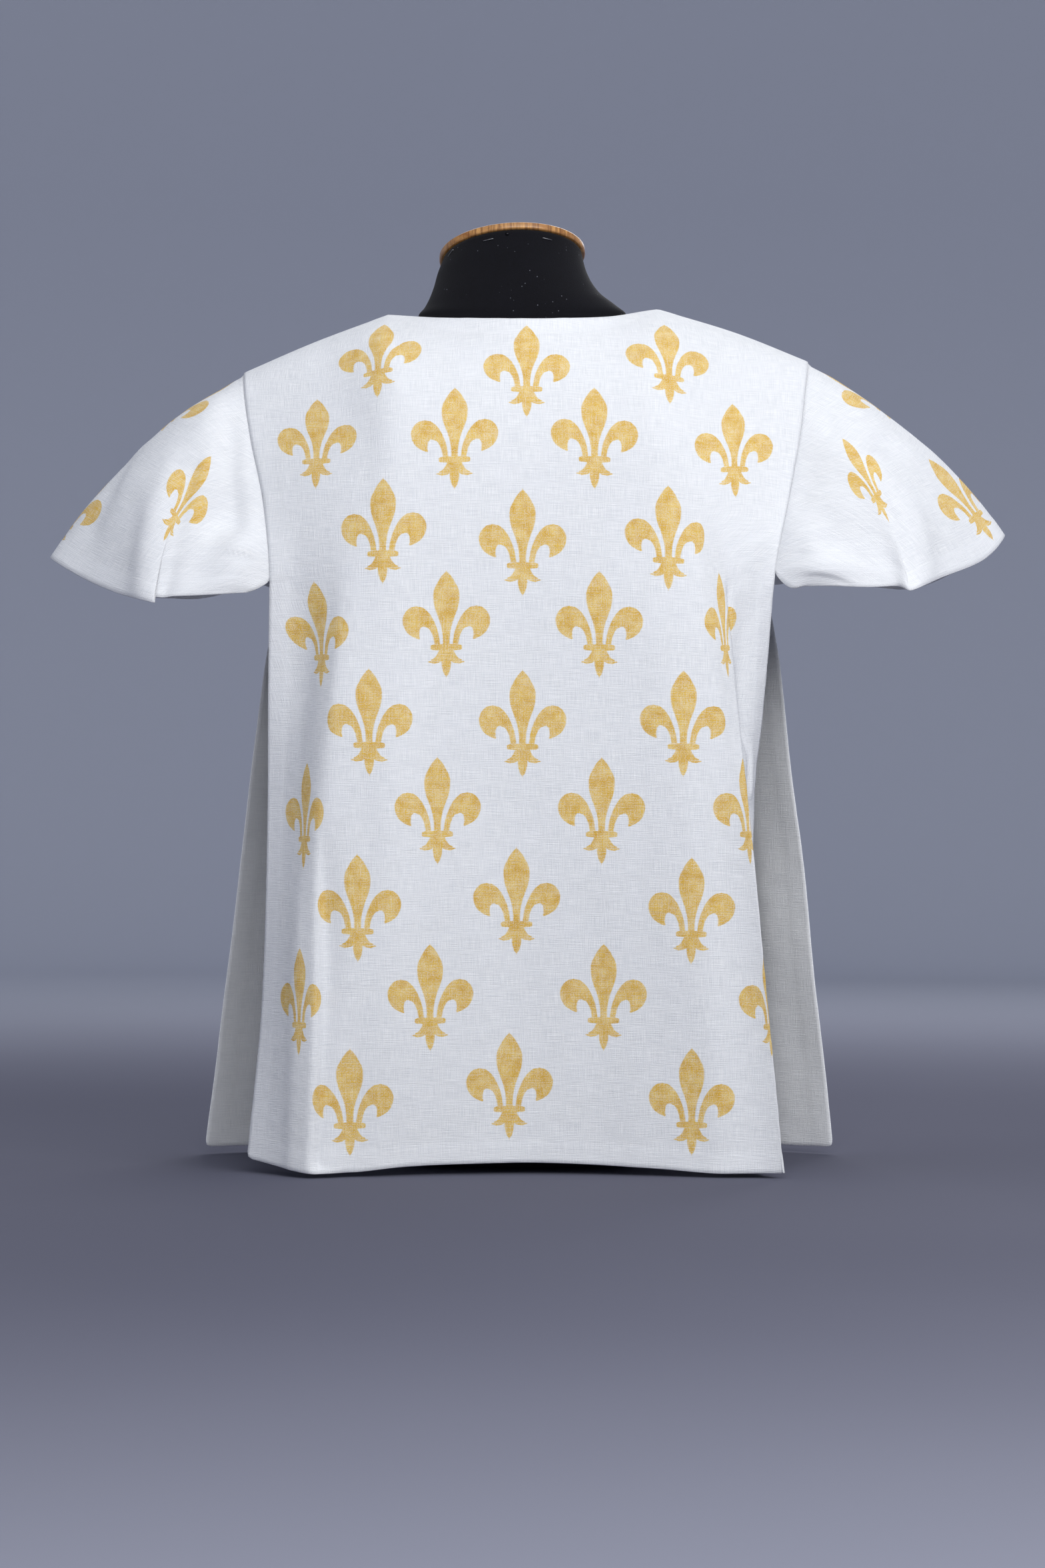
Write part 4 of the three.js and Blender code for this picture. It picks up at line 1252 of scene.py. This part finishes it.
def make_lights():
    for light in LIGHTS:
        area_light(*light)
    world = bpy.data.worlds.new("studio")
    world.use_nodes = True
    back = world.node_tree.nodes["Background"]
    back.inputs["Color"].default_value = SKY
    back.inputs["Strength"].default_value = SKY_STRENGTH
    bpy.context.scene.world = world
    bpy.context.scene.view_settings.view_transform = "Standard"


def make_camera():
    camera = bpy.data.cameras.new("view")
    camera.lens = VIEW_LENS
    camera.sensor_width = 36.0
    camera.dof.use_dof = False
    eye = bpy.data.objects.new("view", camera)
    eye.location = (0.0, -VIEW_DISTANCE * MM, VIEW_HEIGHT * MM)
    eye.rotation_euler = (math.radians(90), 0, 0)
    bpy.context.scene.collection.objects.link(eye)
    bpy.context.scene.camera = eye


# ---------------- the model

def stand_for(piece, node):
    """Says which solid a piece replaces. Nothing on the part moves, so every piece rides on root."""
    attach(piece, "root")
    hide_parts(node)


def front_lilies():
    """The chest's motifs, in rows of three and four columns in turn."""
    places = []
    for row in range(FRONT_ROWS):
        z = FRONT_LOWEST + FRONT_ROW_PITCH * row
        half_steps = (-2, 0, 2) if row % 2 == 0 else (-3, -1, 1, 3)
        spread = FRONT_COLUMN_PITCH * (FRONT_SPREAD[0] - FRONT_SPREAD[1] * row) / 2
        places += [(step * spread, z) for step in half_steps]
    return places


printed = linen_material("linen_printed", True)
# The inner faces and rims: the same linen painted paler, painted light for lamp light shining through it.
plain = linen_material("linen_plain_painted_light", False)
jersey = jersey_material()
oak = oak_material()
steel = metal_material("staple_steel", colour(84, 84, 88), colour(170, 171, 175))
iron = metal_material("tack_iron", colour(14, 14, 16), colour(44, 44, 48))

back = make_panel(BACK, BACK_FOLDS, BACK_TUCKS, BACK_PLEATS, -1)
front = make_panel(FRONT, FRONT_FOLDS, FRONT_TUCKS, FRONT_PLEATS, 1)
left = make_sleeve(-1, LEFT_SLEEVE, back, front)
right = make_sleeve(1, RIGHT_SLEEVE, back, front)

add_creases(back, BACK_CREASES)
add_creases(front, FRONT_CREASES)
add_creases(left, LEFT_CREASES, -1)
add_creases(left, LEFT_FRONT_CREASES, 1)
add_creases(right, RIGHT_CREASES, -1)
add_creases(right, RIGHT_FRONT_CREASES, 1)

for number, cloth in enumerate((back, front, left, right)):
    for seed, height, shortest, longest in UNEVEN:
        cloth.lift = cloth.lift + unevenness(cloth, seed + number, height, shortest, longest)
    finish_edges(cloth, rolls_in=cloth in (back, front))

# Under the shoulders the cloth lies on the form, so little pushes it inward there.
for cloth in (back, front):
    resting = 1 - smoothstep(*SHOULDER_REST, cloth.from_hem[:1] - cloth.from_hem)
    cloth.lift = np.where(cloth.lift < 0, cloth.lift * (1 - REST_SHARE * resting), cloth.lift)

form, form_mesh_rings = make_form(back.points[0], jersey)
stand_for(form, "form_torso")
stand_for(make_cap(oak), "form_cap")
for fastener in make_staples(form_mesh_rings, steel) + [make_tack(form_mesh_rings, iron)]:
    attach(fastener, "root")

# Each piece of cloth: name, grid, motifs, node, then its flat size in metres and its flat area.
sheets = [
    ("back_cloth", back, BACK_LILIES, "back_panel", (0.56, 0.79), 0.39),
    ("front_cloth", front, front_lilies(), "front_panel", (0.66, 0.80), 0.396),
    ("left_sleeve_cloth", left, LEFT_LILIES, "sleeve_left", (0.62, 0.25), 0.069),
    ("right_sleeve_cloth", right, RIGHT_LILIES, "sleeve_right", (0.62, 0.25), 0.071),
]
for name, cloth, lilies, node, flat, area in sheets:
    piece = cloth_object(name, cloth, lilies, [printed, plain])
    stand_for(piece, node)

make_stage()
make_lights()
make_camera()
